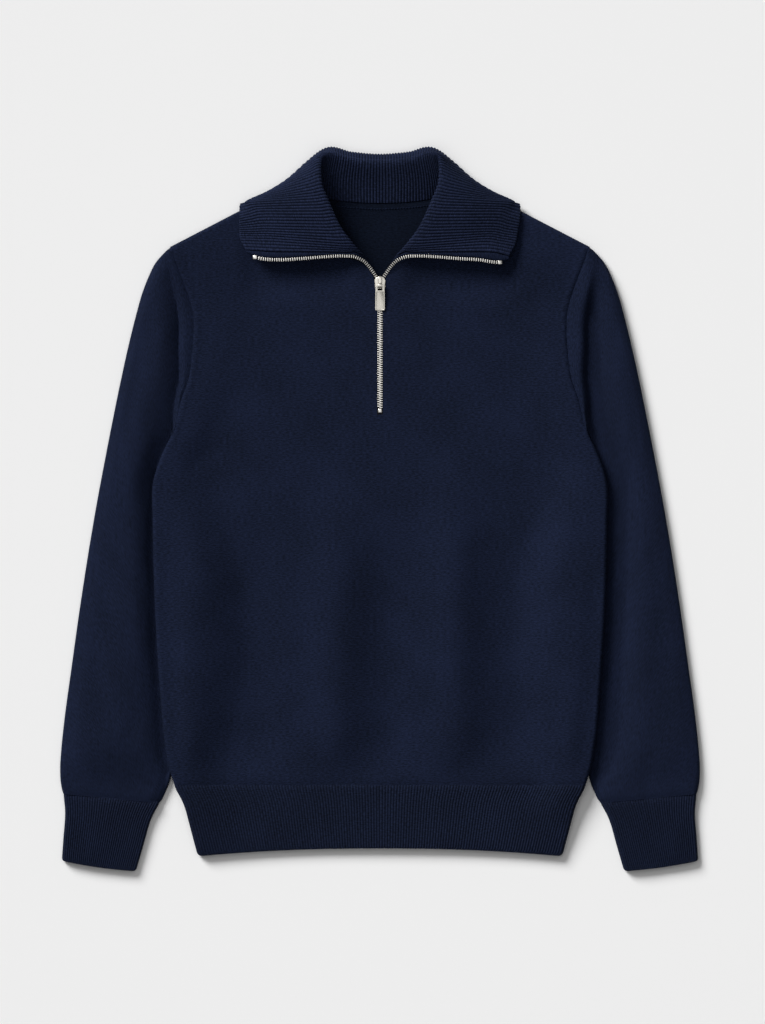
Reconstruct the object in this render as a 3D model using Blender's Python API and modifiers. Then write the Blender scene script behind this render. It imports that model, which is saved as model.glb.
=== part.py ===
"""Quarter zip sweater, laid flat on its back with the front up.

Frame: +X towards the wearer's left, +Y up the garment to the collar, +Z out of the front.
Tables are in millimetres, and a `height` is measured up the garment from the ends of the cuffs.
"""

import math

import bmesh
import bpy
import numpy as np

MM = 0.001
MIDDLE_HEIGHT = 384.1  # half the laid length, which puts the origin under the middle of the garment

# Cloth and seams
CLOTH = 2.6  # knitted panel
RIB_BASE = 2.0  # rib knit between two ridges
RIB_RIDGE = 0.8  # how far a ridge stands up
SEAM = 0.3  # gap between two pieces at a seam
FOLD = 4.3  # outer radius of the rolled side and shoulder folds
TUCK_FOLD = 3.1  # outer radius of the sleeve's flatter fold under the body

# Heights up the garment
HEM_SEAM = 91.3
HEM_MIDDLE = 24.6
HEM_CORNER = 16.6
UNDERARM = 461.7
SLIT_END = 484.5
SLIT_TOP = 617.0

# Zip
SLIT_HALF = 3.1
CHAIN_WIDTH = 5.5
CHAIN_DEPTH = 2.6
TAPE_WIDTH = 11.0
TAPE_THICK = 0.6
TAPE_END = 473.4
TEETH_WIDTH = 3.4
TEETH_DEPTH = 2.4
BAND_THICK = 2.4

# Ribs that show on the front
HEM_RIBS = 136
CUFF_RIBS = 34
COLLAR_RIBS = 116

# Half widths of the body: hem band, side fold, underarm, then the armhole seam up to the shoulder tip
BODY_EDGE = {
    "height": (16.5, 37.7, 54.7, 67.4, 75.9, 84.4, 90.7, 100.3, 109.8, 139.5, 192.5, 245.5, 329.2, 372.7,
               415.1, 434.2, 450.4, 461.7, 480.8, 498.8, 523.2, 547.6, 572.0, 592.1, 605.9, 623.9, 639.8, 662.1),
    "half": (192.9, 198.6, 203.1, 206.6, 209.9, 214.8, 217.5, 220.7, 223.4, 228.3, 233.2, 236.8, 240.2, 240.9,
             240.1, 234.3, 227.4, 221.5, 215.2, 210.9, 202.5, 199.3, 197.6, 198.2, 201.4, 207.8, 214.1, 222.6),
}
SHOULDER_TIP = (222.6, 662.1)
NECK_POINT = (88.0, 732.0)  # where the shoulder seam meets the collar
FRONT_NECK = {
    "half": (3.1, 6.3, 9.2, 13.6, 20.5, 30.0, 43.0, 58.3, 72.1, 81.6, 86.4, 88.0),
    "height": (617.0, 628.5, 634.2, 640.5, 646.0, 649.3, 653.0, 663.0, 679.0, 696.0, 717.2, 732.0),
}
BACK_NECK = {
    "half": (3.1, 31.8, 48.8, 65.7, 79.5, 88.0),
    "height": (707.7, 709.2, 711.4, 715.1, 722.5, 732.0),
}

# Sleeve: the free edge, from the shoulder tip to the cuff
SLEEVE_EDGE = {
    "height": (81.7, 92.9, 109.8, 126.8, 156.5, 215.8, 275.2, 334.5, 393.9, 438.4, 482.9, 527.5, 557.1, 586.8,
               616.5, 631.3, 646.2, 656.8, 662.1),
    "half": (335.9, 338.2, 339.1, 338.1, 335.1, 327.1, 318.8, 309.7, 299.6, 291.2, 282.5, 273.3, 266.7, 259.4,
             250.9, 245.0, 237.3, 227.8, 222.6),
}
# How far the sleeve's other edge is tucked in under the body's side (negative: clear of it)
TUCK = {
    "height": (72.5, 84.4, 92.9, 101.0, 120.0, 160.0, 230.0, 310.0, 340.0, 370.0, 390.0, 410.0, 432.0, 450.0, 461.7),
    "depth": (-25.0, -12.6, -5.2, -0.6, 7.0, 22.0, 37.0, 38.0, 30.0, 20.0, 14.0, 9.0, 1.5, -1.8, -1.2),
}
SLEEVE_FAN = 1.8  # the sleeve's rows fan out from the underarm: the higher, the closer they start together
BOW_FADE = 0.06  # share of the sleeve in which the armhole's curve fades out of its rows
SLEEVE_ROWS = (0.06, 0.14, 0.24, 0.36, 0.5, 0.64, 0.78, 0.88, 0.94, 0.975, 1.0)  # from the pleat to the cuff
CUFF = {  # corners of the laid cuff
    "seam outer": (335.3, 81.9),
    "seam inner": (234.2, 72.5),
    "waist outer": (333.5, 62.0),
    "waist inner": (243.3, 54.7),
    "end outer": (337.1, 11.0),
    "end inner": (259.1, 0.1),
}
# The pleat beside the armhole: how far out from the seam the cloth steps down, and by how much of the drop
PLEAT = {
    "along": (0.0, 0.15, 0.3, 0.5, 0.7, 0.85, 1.0),  # from the underarm to the shoulder tip
    "out": (5.0, 8.5, 13.0, 16.0, 16.5, 15.0, 13.0),
    "share": (1.0, 1.0, 1.0, 1.0, 0.6, 0.15, 0.0),
}
PLEAT_DROP = 0.72
PLEAT_STEP = 5.5  # width of the step
SETTLE = 75.0  # distance in which the sleeve comes down to the table away from the pleat
ARMHOLE = (484.5, 523.2, 547.6, 572.0, 597.0, 620.0)  # heights where the panels and the sleeve share a point

# Lift of the body's side over the tucked sleeve, and of the neck over the turned-down collar
SIDE_LIFT = {
    "height": (16.5, 45.0, 75.0, 95.0, 461.7, 484.5, 523.0, 572.0, 620.0, 662.1),
    "lift": (0.0, 3.0, 6.4, 6.9, 6.9, 6.4, 4.6, 2.2, 0.6, 0.0),
}
NECK_LIFT = 3.6
NECK_LIFT_FROM = 600.0
NECK_LIFT_TO = 660.0
ZIP_PUFF = 2.0  # the chest stands up a little around the top of the zip
PUFF_REACH = 62.0

# Soft vertical folds in the front: place across, how far each leans over its run, the heights it runs between,
# half width and depth
DRAPE = [
    {"x": -203.0, "lean": 4.0, "bottom": 95.0, "top": 400.0, "half": 22.0, "depth": 2.4},
    {"x": -134.0, "lean": -6.0, "bottom": 92.0, "top": 430.0, "half": 31.0, "depth": -2.8},
    {"x": -47.0, "lean": 6.0, "bottom": 92.0, "top": 440.0, "half": 30.0, "depth": 5.2},
    {"x": 11.0, "lean": 3.0, "bottom": 92.0, "top": 400.0, "half": 25.0, "depth": -2.8},
    {"x": 78.0, "lean": -4.0, "bottom": 92.0, "top": 470.0, "half": 29.0, "depth": 5.4},
    {"x": 143.0, "lean": 6.0, "bottom": 92.0, "top": 460.0, "half": 31.0, "depth": -2.8},
    {"x": 208.0, "lean": -2.0, "bottom": 95.0, "top": 420.0, "half": 24.0, "depth": 1.6},
]
DRAPE_START = 0.16  # shares of a drape's run over which it sets in and dies away
DRAPE_END = 0.45

# Collar: one row for each section from the front edge to the middle of the back. Each section runs from
# the neck seam up the stand to the roll, over to the crest and on to the free edge (across, height, up).
# Its rib says how many ribs lie between it and the front edge.
COLLAR = [
    {"rib": 0.0, "seam": (7.2, 635.4, 9.0), "stand": (12.5, 645.8, 13.5), "roll": (24.0, 657.3, 22.5),
     "crest": (110.0, 657.0, 23.5), "edge": (142.0, 658.8, 20.5)},
    {"rib": 3.0, "seam": (22.6, 650.0, 12.2), "stand": (24.0, 656.0, 19.5), "roll": (28.1, 662.6, 26.0),
     "crest": (111.0, 667.5, 23.0), "edge": (147.3, 668.5, 18.5)},
    {"rib": 9.0, "seam": (43.0, 656.5, 12.5), "stand": (41.3, 668.4, 24.0), "roll": (42.4, 682.7, 31.0),
     "crest": (121.0, 684.0, 22.5), "edge": (148.9, 682.2, 16.5)},
    {"rib": 15.3, "seam": (62.5, 674.8, 12.5), "stand": (56.7, 689.6, 26.0), "roll": (53.0, 704.5, 34.5),
     "crest": (128.0, 703.0, 22.0), "edge": (148.9, 697.1, 14.5)},
    {"rib": 18.6, "seam": (71.5, 688.0, 12.3), "stand": (63.5, 702.0, 26.0), "roll": (57.8, 715.6, 35.2),
     "crest": (136.0, 709.8, 18.5), "edge": (147.7, 706.3, 7.0)},
    {"rib": 21.5, "seam": (78.5, 701.0, 12.0), "stand": (69.5, 714.0, 26.0), "roll": (62.0, 725.7, 35.5),
     "crest": (137.6, 711.3, 12.0), "edge": (142.4, 703.0, 1.4)},
    {"rib": 25.8, "seam": (82.5, 719.8, 10.5), "stand": (73.1, 730.0, 24.0), "roll": (64.1, 741.6, 34.5),
     "crest": (117.0, 720.8, 9.5), "edge": (129.3, 688.6, 1.5)},
    {"rib": 28.4, "seam": (81.0, 723.8, 9.3), "stand": (71.3, 735.3, 22.2), "roll": (63.8, 749.5, 33.5),
     "crest": (99.6, 731.6, 10.0), "edge": (116.0, 688.6, 1.5)},
    {"rib": 31.8, "seam": (77.5, 726.5, 8.0), "stand": (69.0, 740.5, 20.0), "roll": (62.8, 757.2, 32.0),
     "crest": (80.0, 748.8, 11.0), "edge": (101.8, 688.6, 1.5)},
    {"rib": 38.5, "seam": (61.5, 716.6, 5.2), "stand": (58.3, 738.4, 16.5), "roll": (54.0, 759.5, 27.0),
     "crest": (57.8, 765.2, 14.0), "edge": (65.7, 688.6, 1.5)},
    {"rib": 48.2, "seam": (31.8, 710.9, 5.0), "stand": (31.8, 733.1, 13.0), "roll": (29.7, 752.0, 20.5),
     "crest": (29.7, 761.2, 11.0), "edge": (31.8, 686.5, 1.5)},
    {"rib": 58.0, "seam": (0.0, 709.4, 5.0), "stand": (0.0, 732.0, 12.0), "roll": (0.0, 750.0, 18.5),
     "crest": (0.0, 758.9, 10.0), "edge": (0.0, 684.3, 1.5)},
]
CROWN_RUN = 13.0  # from the roll to the crown of the fold
TUCK_RUN = 9.0  # from the crest to where the fall lies flat under the back
TUCKED = 1.5  # middle of the cloth there
# The wearer's left lapel hangs lower and shorter at its outer corner than the right one
LEFT_CORNER = {"across": -6.0, "height": -7.0, "reach": 34.0}

# Edge of the open zip along a lapel, from the slider to the top stop
OPEN_TEETH = {
    "across": (5.8, 11.7, 18.0, 26.8, 40.3, 61.5, 83.1, 104.9, 126.4, 136.2),
    "height": (633.2, 641.6, 647.7, 651.6, 652.6, 651.6, 649.8, 648.5, 649.8, 652.2),
    "up": (12.4, 15.6, 19.0, 22.0, 23.4, 23.6, 23.2, 22.8, 21.8, 20.6),
}
EDGE_REACH = 0.965  # the plain band ends this far along the collar's front edge, and the corner rounds past it

# Slider and pull tab
PIVOT_HEIGHT = 621.2
PIVOT_OVER_CHAIN = 3.9
PLATE_OVER_CHAIN = 0.7
PLATE_THICK = 1.4
BAIL_WIDTH = 4.4
BAIL_INNER = 1.45
BAIL_OUTER = 2.85
TAB_LENGTH = 26.8
TAB_TOP = 9.7
TAB_BOTTOM = 10.4
TAB_THICK = 1.3
TAB_RIM = 1.0
TAB_SLOT = (5.0, 4.2)
TAB_CLEAR = 0.4  # its end lies this far over the front
SLIDER_PLATE = [(4.1, -3.3), (4.7, 0.0), (5.8, 3.2), (5.8, 6.4), (4.4, 8.6), (2.4, 9.8)]  # half outline

NAVY = (0.0090, 0.0125, 0.0300, 1.0)
NAVY_RIB = (0.0085, 0.0120, 0.0285, 1.0)
NAVY_TAPE = (0.0060, 0.0080, 0.0190, 1.0)
NICKEL = (0.62, 0.60, 0.56, 1.0)


def clear_scene():
    for item in list(bpy.data.objects):
        bpy.data.objects.remove(item, do_unlink=True)


def new_collection(name):
    collection = bpy.data.collections.new(name)
    bpy.context.scene.collection.children.link(collection)
    return collection


def new_material(name, colour, roughness, metallic=0.0):
    material = bpy.data.materials.new(name)
    material.use_nodes = True
    shader = material.node_tree.nodes["Principled BSDF"]
    shader.inputs["Base Color"].default_value = colour
    shader.inputs["Roughness"].default_value = roughness
    shader.inputs["Metallic"].default_value = metallic
    return material


def ease(value):
    """0 to 1 along a soft S."""
    value = np.clip(value, 0.0, 1.0)
    return value * value * (3.0 - 2.0 * value)


def curve(knots, values, at):
    """Smooth curve through the values at the knots."""
    knots = np.asarray(knots, float)
    values = np.asarray(values, float)
    slopes = np.gradient(values, knots, axis=0)
    at = np.clip(np.asarray(at, float), knots[0], knots[-1])
    start = np.clip(np.searchsorted(knots, at) - 1, 0, len(knots) - 2)
    width = knots[start + 1] - knots[start]
    t = (at - knots[start]) / width
    spare = (1,) * (values.ndim - 1)
    t, width = t.reshape(t.shape + spare), width.reshape(width.shape + spare)
    return (
        (1 + 2 * t) * (1 - t) ** 2 * values[start]
        + t * (1 - t) ** 2 * width * slopes[start]
        + t * t * (3 - 2 * t) * values[start + 1]
        + t * t * (t - 1) * width * slopes[start + 1]
    )


def along(points, share):
    """Points at the given shares of a polyline's length."""
    points = np.asarray(points, float)
    steps = np.linalg.norm(np.diff(points, axis=0), axis=1)
    travelled = np.concatenate([[0.0], np.cumsum(steps)])
    target = np.asarray(share, float) * travelled[-1]
    return np.stack([np.interp(target, travelled, points[:, k]) for k in range(points.shape[1])], axis=-1)


def length_of(points):
    return float(np.linalg.norm(np.diff(np.asarray(points, float), axis=0), axis=1).sum())


def body_half(height):
    return curve(BODY_EDGE["height"], BODY_EDGE["half"], height)


def tuck_depth(height):
    return np.interp(height, TUCK["height"], TUCK["depth"])


def body_lift(across, height):
    """Height of the back panel's underside above the table."""
    from_edge = body_half(height) - np.abs(across)
    tucked = np.maximum(tuck_depth(height), 0.0)
    side = curve(SIDE_LIFT["height"], SIDE_LIFT["lift"], height) * (1.0 - ease((from_edge - tucked - 12.0) / 50.0))
    neck = NECK_LIFT * ease((np.asarray(height) - NECK_LIFT_FROM) / (NECK_LIFT_TO - NECK_LIFT_FROM))
    return side + neck


def front_rise(across, height):
    """What the drape and the zip add to the front's own level."""
    across = np.asarray(across, float)
    height = np.asarray(height, float)
    rise = ZIP_PUFF * np.exp(-((across / PUFF_REACH) ** 2) - ((height - 628.0) / PUFF_REACH) ** 2)
    for fold in DRAPE:
        up = (height - fold["bottom"]) / (fold["top"] - fold["bottom"])
        reach = ease(up / DRAPE_START) * ease((1.0 - up) / DRAPE_END)
        middle = fold["x"] + fold["lean"] * (up - 0.5)
        rise = rise + fold["depth"] * reach * np.exp(-(((across - middle) / fold["half"]) ** 2))
    edge = ease((body_half(height) - np.abs(across) - FOLD) / 22.0)
    return rise * edge


def front_top(across, height):
    return body_lift(across, height) + 2 * FOLD + front_rise(across, height)


def wall(name, outer, inner, material, collection, ring=False, match=None, gaps=()):
    """A closed wall between two grids of points, given in millimetres as rows of columns.

    `match` gives the outer column that each inner column lies under. `gaps` lists cells left open.
    """
    rows, outer_columns = outer.shape[:2]
    inner_columns = inner.shape[1]
    match = list(range(inner_columns)) if match is None else list(match)
    if ring:
        match.append(outer_columns)
    outer_strips = outer_columns if ring else outer_columns - 1
    gaps = set(gaps)

    def outside(row, column):
        return row * outer_columns + column % outer_columns

    def inside(row, column):
        return rows * outer_columns + row * inner_columns + column % inner_columns

    faces = []
    for row in range(rows - 1):
        for column in range(outer_strips):
            if (row, column) not in gaps:
                faces.append((outside(row, column), outside(row, column + 1),
                              outside(row + 1, column + 1), outside(row + 1, column)))
        for column in range(len(match) - 1):
            if (row, column) not in gaps:
                faces.append((inside(row + 1, column), inside(row + 1, column + 1),
                              inside(row, column + 1), inside(row, column)))

    def open_cell(row, column):
        if ring:
            column %= outer_strips
        return not (0 <= row < rows - 1 and 0 <= column < outer_strips) or (row, column) in gaps

    for row in range(rows):
        for column in range(len(match) - 1):
            first, last = match[column], match[column + 1]
            if open_cell(row - 1, first) == open_cell(row, first):
                continue
            middle = (first + last) // 2 if last - first > 1 else last
            for step in range(first, last):
                corner = column if step < middle else column + 1
                faces.append((outside(row, step), outside(row, step + 1), inside(row, corner)))
            faces.append((inside(row, column), outside(row, middle), inside(row, column + 1)))
    if not ring or gaps:
        for row in range(rows - 1):
            for column, first in enumerate(match):
                if first <= outer_strips and open_cell(row, first - 1) != open_cell(row, first):
                    faces.append((outside(row, first), outside(row + 1, first),
                                  inside(row + 1, column), inside(row, column)))

    points = np.concatenate([outer.reshape(-1, 3), inner.reshape(-1, 3)])
    points = (points - (0.0, MIDDLE_HEIGHT, 0.0)) * MM
    mesh = bpy.data.meshes.new(name)
    mesh.from_pydata([tuple(point) for point in points], [], faces)
    shape = bmesh.new()
    shape.from_mesh(mesh)
    bmesh.ops.delete(shape, geom=[vertex for vertex in shape.verts if not vertex.link_faces], context="VERTS")
    bmesh.ops.triangulate(shape, faces=shape.faces)
    bmesh.ops.recalc_face_normals(shape, faces=shape.faces)
    shape.to_mesh(mesh)
    shape.free()
    mesh.shade_smooth()
    mesh.set_sharp_from_angle(angle=math.radians(50))
    mesh.materials.append(material)
    item = bpy.data.objects.new(name, mesh)
    collection.objects.link(item)
    return item


def fold_columns(row_heights):
    """Angles and inward distances of the three columns that roll the side edge of a panel."""
    start = 0.5 * math.pi * ease((row_heights - UNDERARM + 26.0) / 26.0)
    arc = np.array([0.0, 0.25 * math.pi, 0.5 * math.pi])
    angle = np.minimum(start[:, None] + arc, 0.5 * math.pi)
    inward = FOLD * (np.cos(start)[:, None] - np.cos(angle))
    inward += FOLD * (arc - (0.5 * math.pi - start[:, None])).clip(0.0)
    return angle, inward


def armhole_half(height):
    """Half width along the armhole, straight between the points shared with the sleeve."""
    knots = (UNDERARM,) + ARMHOLE + (SHOULDER_TIP[1],)
    return np.where(np.asarray(height) < UNDERARM, body_half(height), np.interp(height, knots, body_half(knots)))


def panel_rows(neck):
    """Inner and outer ends of a half panel's rows, and how far each row is rolled over the shoulder.

    The rows run level up to the end of the slit, then fan from the slit and the neck to the armhole.
    """
    level = np.array([HEM_SEAM + SEAM / 2, 104.0, 122.0, 150.0, 190.0, 230.0, 270.0, 310.0, 350.0, 390.0,
                      415.0, 436.0, 450.0, UNDERARM, SLIT_END])
    shoulder = np.array([0.0, 0.29, 1.0]) * FOLD
    neck_length = length_of(neck["curve"])
    neck_shares = [distance / neck_length for distance in neck["distances"]]
    inner = [(SLIT_HALF, height) for height in (*level, *neck["slit"])]
    inner += [tuple(along(neck["curve"], share)) for share in neck_shares]
    inner += [tuple(along(neck["curve"], 1.0 - distance / neck_length)) for distance in shoulder[::-1]]
    outer = [(float(armhole_half(height)), height) for height in (*level, *neck["armhole"])]
    tip = [(float(body_half(ARMHOLE[-1])), ARMHOLE[-1]), SHOULDER_TIP]
    outer += [tuple(along(tip, 1.0 - distance / length_of(tip))) for distance in shoulder[::-1]]
    roll = np.full(len(inner), 0.5 * math.pi)
    roll[-3:] = np.array([0.5, 0.25, 0.0]) * math.pi
    return np.array(inner), np.array(outer), roll


def panel(name, side_of_cloth, neck, material, collection):
    """Front (+1) or back (-1) panel: both halves in one grid, mirrored about the middle."""
    inner_ends, outer_ends, shoulder_angle = panel_rows(neck)
    rows = len(inner_ends)
    heights = outer_ends[:, 1]
    fold_angle, fold_inward = fold_columns(heights)
    span = np.linalg.norm(outer_ends - inner_ends, axis=1)
    tucked = np.maximum(tuck_depth(heights), 0.0)
    stops = np.stack([tucked + 62.0, tucked + 34.0, tucked + 12.0], axis=1)
    stops = np.minimum(stops, np.stack([0.62 * span, 0.38 * span, 0.16 * span], axis=1))
    even = np.linspace(0.0, 1.0, neck["columns"] + 1)[:-1]
    shares = np.concatenate([even[None, :] * (1.0 - stops[:, :1] / span[:, None]), 1.0 - stops / span[:, None],
                             1.0 - fold_inward[:, ::-1] / span[:, None]], axis=1)
    angles = np.full(shares.shape, 0.5 * math.pi)
    angles[:, -3:] = fold_angle[:, ::-1]
    slope = np.array(SHOULDER_TIP) - np.array(NECK_POINT)
    shoulder_out = np.array([-slope[1], slope[0]]) / np.linalg.norm(slope)
    surfaces = []
    for offset in (0.0, CLOTH):
        plan = inner_ends[:, None, :] + shares[..., None] * (outer_ends - inner_ends)[:, None, :]
        lift = body_lift(plan[..., 0], plan[..., 1])
        turn = np.minimum(angles, shoulder_angle[:, None])
        middle = lift + FOLD + side_of_cloth * 0.5 * SEAM * np.cos(turn)
        plan = plan - offset * np.cos(angles)[..., None] * np.array([1.0, 0.0])
        plan = plan - offset * np.cos(shoulder_angle)[:, None, None] * shoulder_out
        up = middle + side_of_cloth * (FOLD - offset) * np.sin(turn)
        halves = []
        for side in (-1.0, 1.0):
            rise = np.zeros_like(up)
            if side_of_cloth > 0:
                rise = front_rise(side * plan[..., 0], plan[..., 1]) * np.sin(turn) ** 4
            halves.append(np.stack([side * plan[..., 0], plan[..., 1], up + rise], axis=-1))
        middle_column = halves[1][:, :1].copy()
        middle_column[..., 0] = 0.0
        surfaces.append(np.concatenate([halves[0][:, ::-1], middle_column, halves[1]], axis=1))
    half_strips = shares.shape[1] - 1
    opening = [(row, half_strips + side) for row in range(neck["open from"], rows - 1) for side in (0, 1)]
    return wall(name, surfaces[0], surfaces[1], material, collection, gaps=opening)


def neck_curve(table, samples=60):
    travel = np.linspace(0.0, 1.0, len(table["half"]))
    points = np.stack([table["half"], table["height"]], axis=1)
    return curve(travel, points, np.linspace(0.0, 1.0, samples))


def front_panel(material, collection):
    neck = {"curve": neck_curve(FRONT_NECK), "slit": (528.0, 572.0), "columns": 9,
            "distances": (0.0, 12.5, 24.0, 39.0, 62.0, 86.0, 112.0), "open from": 14,
            "armhole": (505.0, 523.2, 547.6, 560.0, 572.0, 585.0, 597.0, 609.0, 620.0)}
    return panel("front_panel", 1.0, neck, material, collection)


def back_panel(material, collection):
    neck = {"curve": neck_curve(BACK_NECK), "slit": (530.0, 600.0, 660.0), "columns": 2,
            "distances": (0.0, 30.0, 50.0, 68.0), "open from": 18,
            "armhole": (505.0, 523.2, 547.6, 572.0, 585.0, 597.0, 620.0)}
    return panel("back_panel", -1.0, neck, material, collection)


def strip(name, near, far, normal, thick, material, collection):
    """A flat strip between two edges, as thick as given along its normal."""
    middle = np.stack([near, far], axis=1)
    across = normal[:, None, :] * thick / 2
    return wall(name, middle + across, middle - across, material, collection)


def sleeve_plan():
    """Plan of a sleeve as a patch between the armhole, its two edges and the cuff seam.

    Gives the patch, the armhole and the distance down the cloth, the last two in millimetres.
    """
    heights = np.array((UNDERARM,) + ARMHOLE + (SHOULDER_TIP[1],))
    armhole = np.stack([body_half(heights) + SEAM * 1.2, heights], axis=1)
    armhole[0, 0] += 0.8
    cuff_seam = np.array([CUFF["seam inner"], CUFF["seam outer"]]) + (0.0, SEAM / 2)
    inner_heights = np.linspace(UNDERARM, cuff_seam[0, 1], 80)
    inner = np.stack([body_half(inner_heights) - tuck_depth(inner_heights), inner_heights], axis=1)
    inner[0], inner[-1] = armhole[0], cuff_seam[0]
    outer_heights = np.linspace(SHOULDER_TIP[1], cuff_seam[1, 1], 120)
    outer = np.stack([curve(SLEEVE_EDGE["height"], SLEEVE_EDGE["half"], outer_heights), outer_heights], axis=1)
    outer[0], outer[-1] = armhole[-1], cuff_seam[1]
    inner_length, outer_length = length_of(inner), length_of(outer)

    def plan(u, v):
        u, v = np.broadcast_arrays(u, v)
        fade = np.exp(-v / BOW_FADE)[..., None]
        level = u[..., None]
        bow = along(armhole, u) - (1 - level) * armhole[0] - level * armhole[-1]
        return (1 - level) * along(inner, v ** SLEEVE_FAN) + level * along(outer, v) + fade * bow

    def down(u, v):
        return (1 - u) * inner_length * v ** SLEEVE_FAN + u * outer_length * v

    return plan, armhole, down


def sleeve_rows(u, down):
    """Rows of the sleeve for each column: the seam, three round the pleat, then shares of the way to the cuff."""
    pleat_out = np.interp(u, PLEAT["along"], PLEAT["out"])
    fine = np.linspace(0.0, 1.0, 4001)
    near = np.zeros((4, len(u)))
    for column, at in enumerate(u):
        distance = down(at, fine)
        for row, past in enumerate((-3.0, 2.5, 18.0), start=1):
            near[row, column] = np.interp(pleat_out[column] + past, distance, fine)
    far = near[-1] + np.array(SLEEVE_ROWS)[:, None] * (1 - near[-1])
    return np.concatenate([near, far])


def sleeve_columns(u, width, radius, tucked):
    """Columns past the armhole, which keep their real distance from the two folds."""
    marks = np.stack([0 * radius, 0.29 * radius, radius], axis=1) / width[:, None]
    far_marks = 1 - np.array([12.0, FOLD, 0.29 * FOLD, 0.0]) / width[:, None]
    body_mark = np.maximum(tucked, 9.0) / width
    step_mark = body_mark + 14.0 / width
    count = len(u) - 9
    between = np.arange(1, count + 1) / (count + 1)
    rest = step_mark[:, None] + (far_marks[:, :1] - step_mark[:, None]) * between
    return np.concatenate([marks, body_mark[:, None], step_mark[:, None], rest, far_marks], axis=1)


def sleeve_levels(plan, place, u, down, from_inner, tucked):
    """Underside and top of the sleeve: the body's level at the armhole, on the table further out."""
    at_seam = plan(u, 0 * u)
    seam_lift = body_lift(at_seam[..., 0], at_seam[..., 1])
    bottom = seam_lift * (1 - ease(down / (24.0 + 40.0 * u)))
    emerged = ease((from_inner - tucked[:, None]) / 14.0)
    level = 2 * TUCK_FOLD + emerged * (2 * FOLD - 2 * TUCK_FOLD)
    step = ease((down - np.interp(u, PLEAT["along"], PLEAT["out"]) + 3.0) / PLEAT_STEP)
    share = PLEAT_DROP * np.interp(u, PLEAT["along"], PLEAT["share"])
    slow = ease(down / SETTLE)
    drop = np.maximum(share * step + (1 - share) * slow, slow)
    top = (seam_lift + 2 * FOLD) * (1 - drop) + level * drop
    top = np.maximum(top, bottom + 2 * CLOTH + 0.7)
    # Where it lies beneath the body's side it stays below the back panel
    clear = place[..., 0] - body_half(place[..., 1])
    near_arm = ease((place[..., 1] - UNDERARM + 30.0) / 26.0)
    room = SIDE_LIFT["lift"][3] - 2 * SEAM + 10.0 * ease(clear / (14.0 - 13.0 * near_arm))
    return bottom, np.where(place[..., 1] < UNDERARM - 2.0, np.minimum(top, room), top)


def sleeve(name, side, material, collection):
    """Closed tube from the armhole to the cuff: front columns up the armhole, then back columns down it."""
    plan, armhole, down = sleeve_plan()
    widest = length_of(armhole)
    shared = [length_of(armhole[:k + 1]) / widest for k in range(1, len(armhole) - 1)]
    u = np.array([0.0, 0.29 * FOLD / widest, FOLD / widest] + shared
                 + [1 - 12.0 / widest, 1 - FOLD / widest, 1 - 0.29 * FOLD / widest, 1.0])
    v = sleeve_rows(u, down)
    ones = np.ones(len(v))
    inner_edge = plan(0 * ones, v[:, 0])
    width = np.linalg.norm(plan(ones, v[:, -1]) - inner_edge, axis=1)
    width[0] = widest
    radius = TUCK_FOLD + (FOLD - TUCK_FOLD) * (1 - ease(down(0.0, v[:, 0]) / 34.0))
    tucked = np.maximum(tuck_depth(inner_edge[:, 1]), 0.0)
    blend = ease(v.mean(axis=1) * 9.0)[:, None]
    u_grid = u * (1 - blend) + sleeve_columns(u, width, radius, tucked) * blend
    from_inner = u_grid * width[:, None]
    from_outer = (1 - u_grid) * width[:, None]
    place = plan(u_grid, v)
    bottom, top = sleeve_levels(plan, place, u_grid, down(u_grid, v), from_inner, tucked)

    left_angle = np.arccos(np.clip(1 - from_inner / radius[:, None], 0.0, 1.0))
    right_angle = np.arccos(np.clip(1 - from_outer / FOLD, 0.0, 1.0))
    angle = np.minimum(left_angle, right_angle)
    flat = angle > 0.499 * math.pi
    near_inner = left_angle < right_angle
    edge_radius = np.where(near_inner, radius[:, None], FOLD)
    tangent = (place[:, -1] - place[:, 0]) / width[:, None]
    tangent[0] = (0.0, 1.0)
    walls = []
    for offset in (0.0, CLOTH):
        curl = (edge_radius - offset) * np.sin(angle)
        upper = np.where(flat, top - offset, bottom + edge_radius + curl)
        lower = np.where(flat, bottom + offset, bottom + edge_radius - curl)
        shift = offset * np.cos(angle) * np.where(near_inner, 1.0, -1.0)
        spot = place + shift[..., None] * tangent[:, None, :]
        front, back = (np.stack([side * spot[..., 0], spot[..., 1], up], axis=-1) for up in (upper, lower))
        walls.append(np.concatenate([front, back[:, -2:0:-1]], axis=1))
    return wall(name, walls[0], walls[1], material, collection, ring=True)


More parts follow.
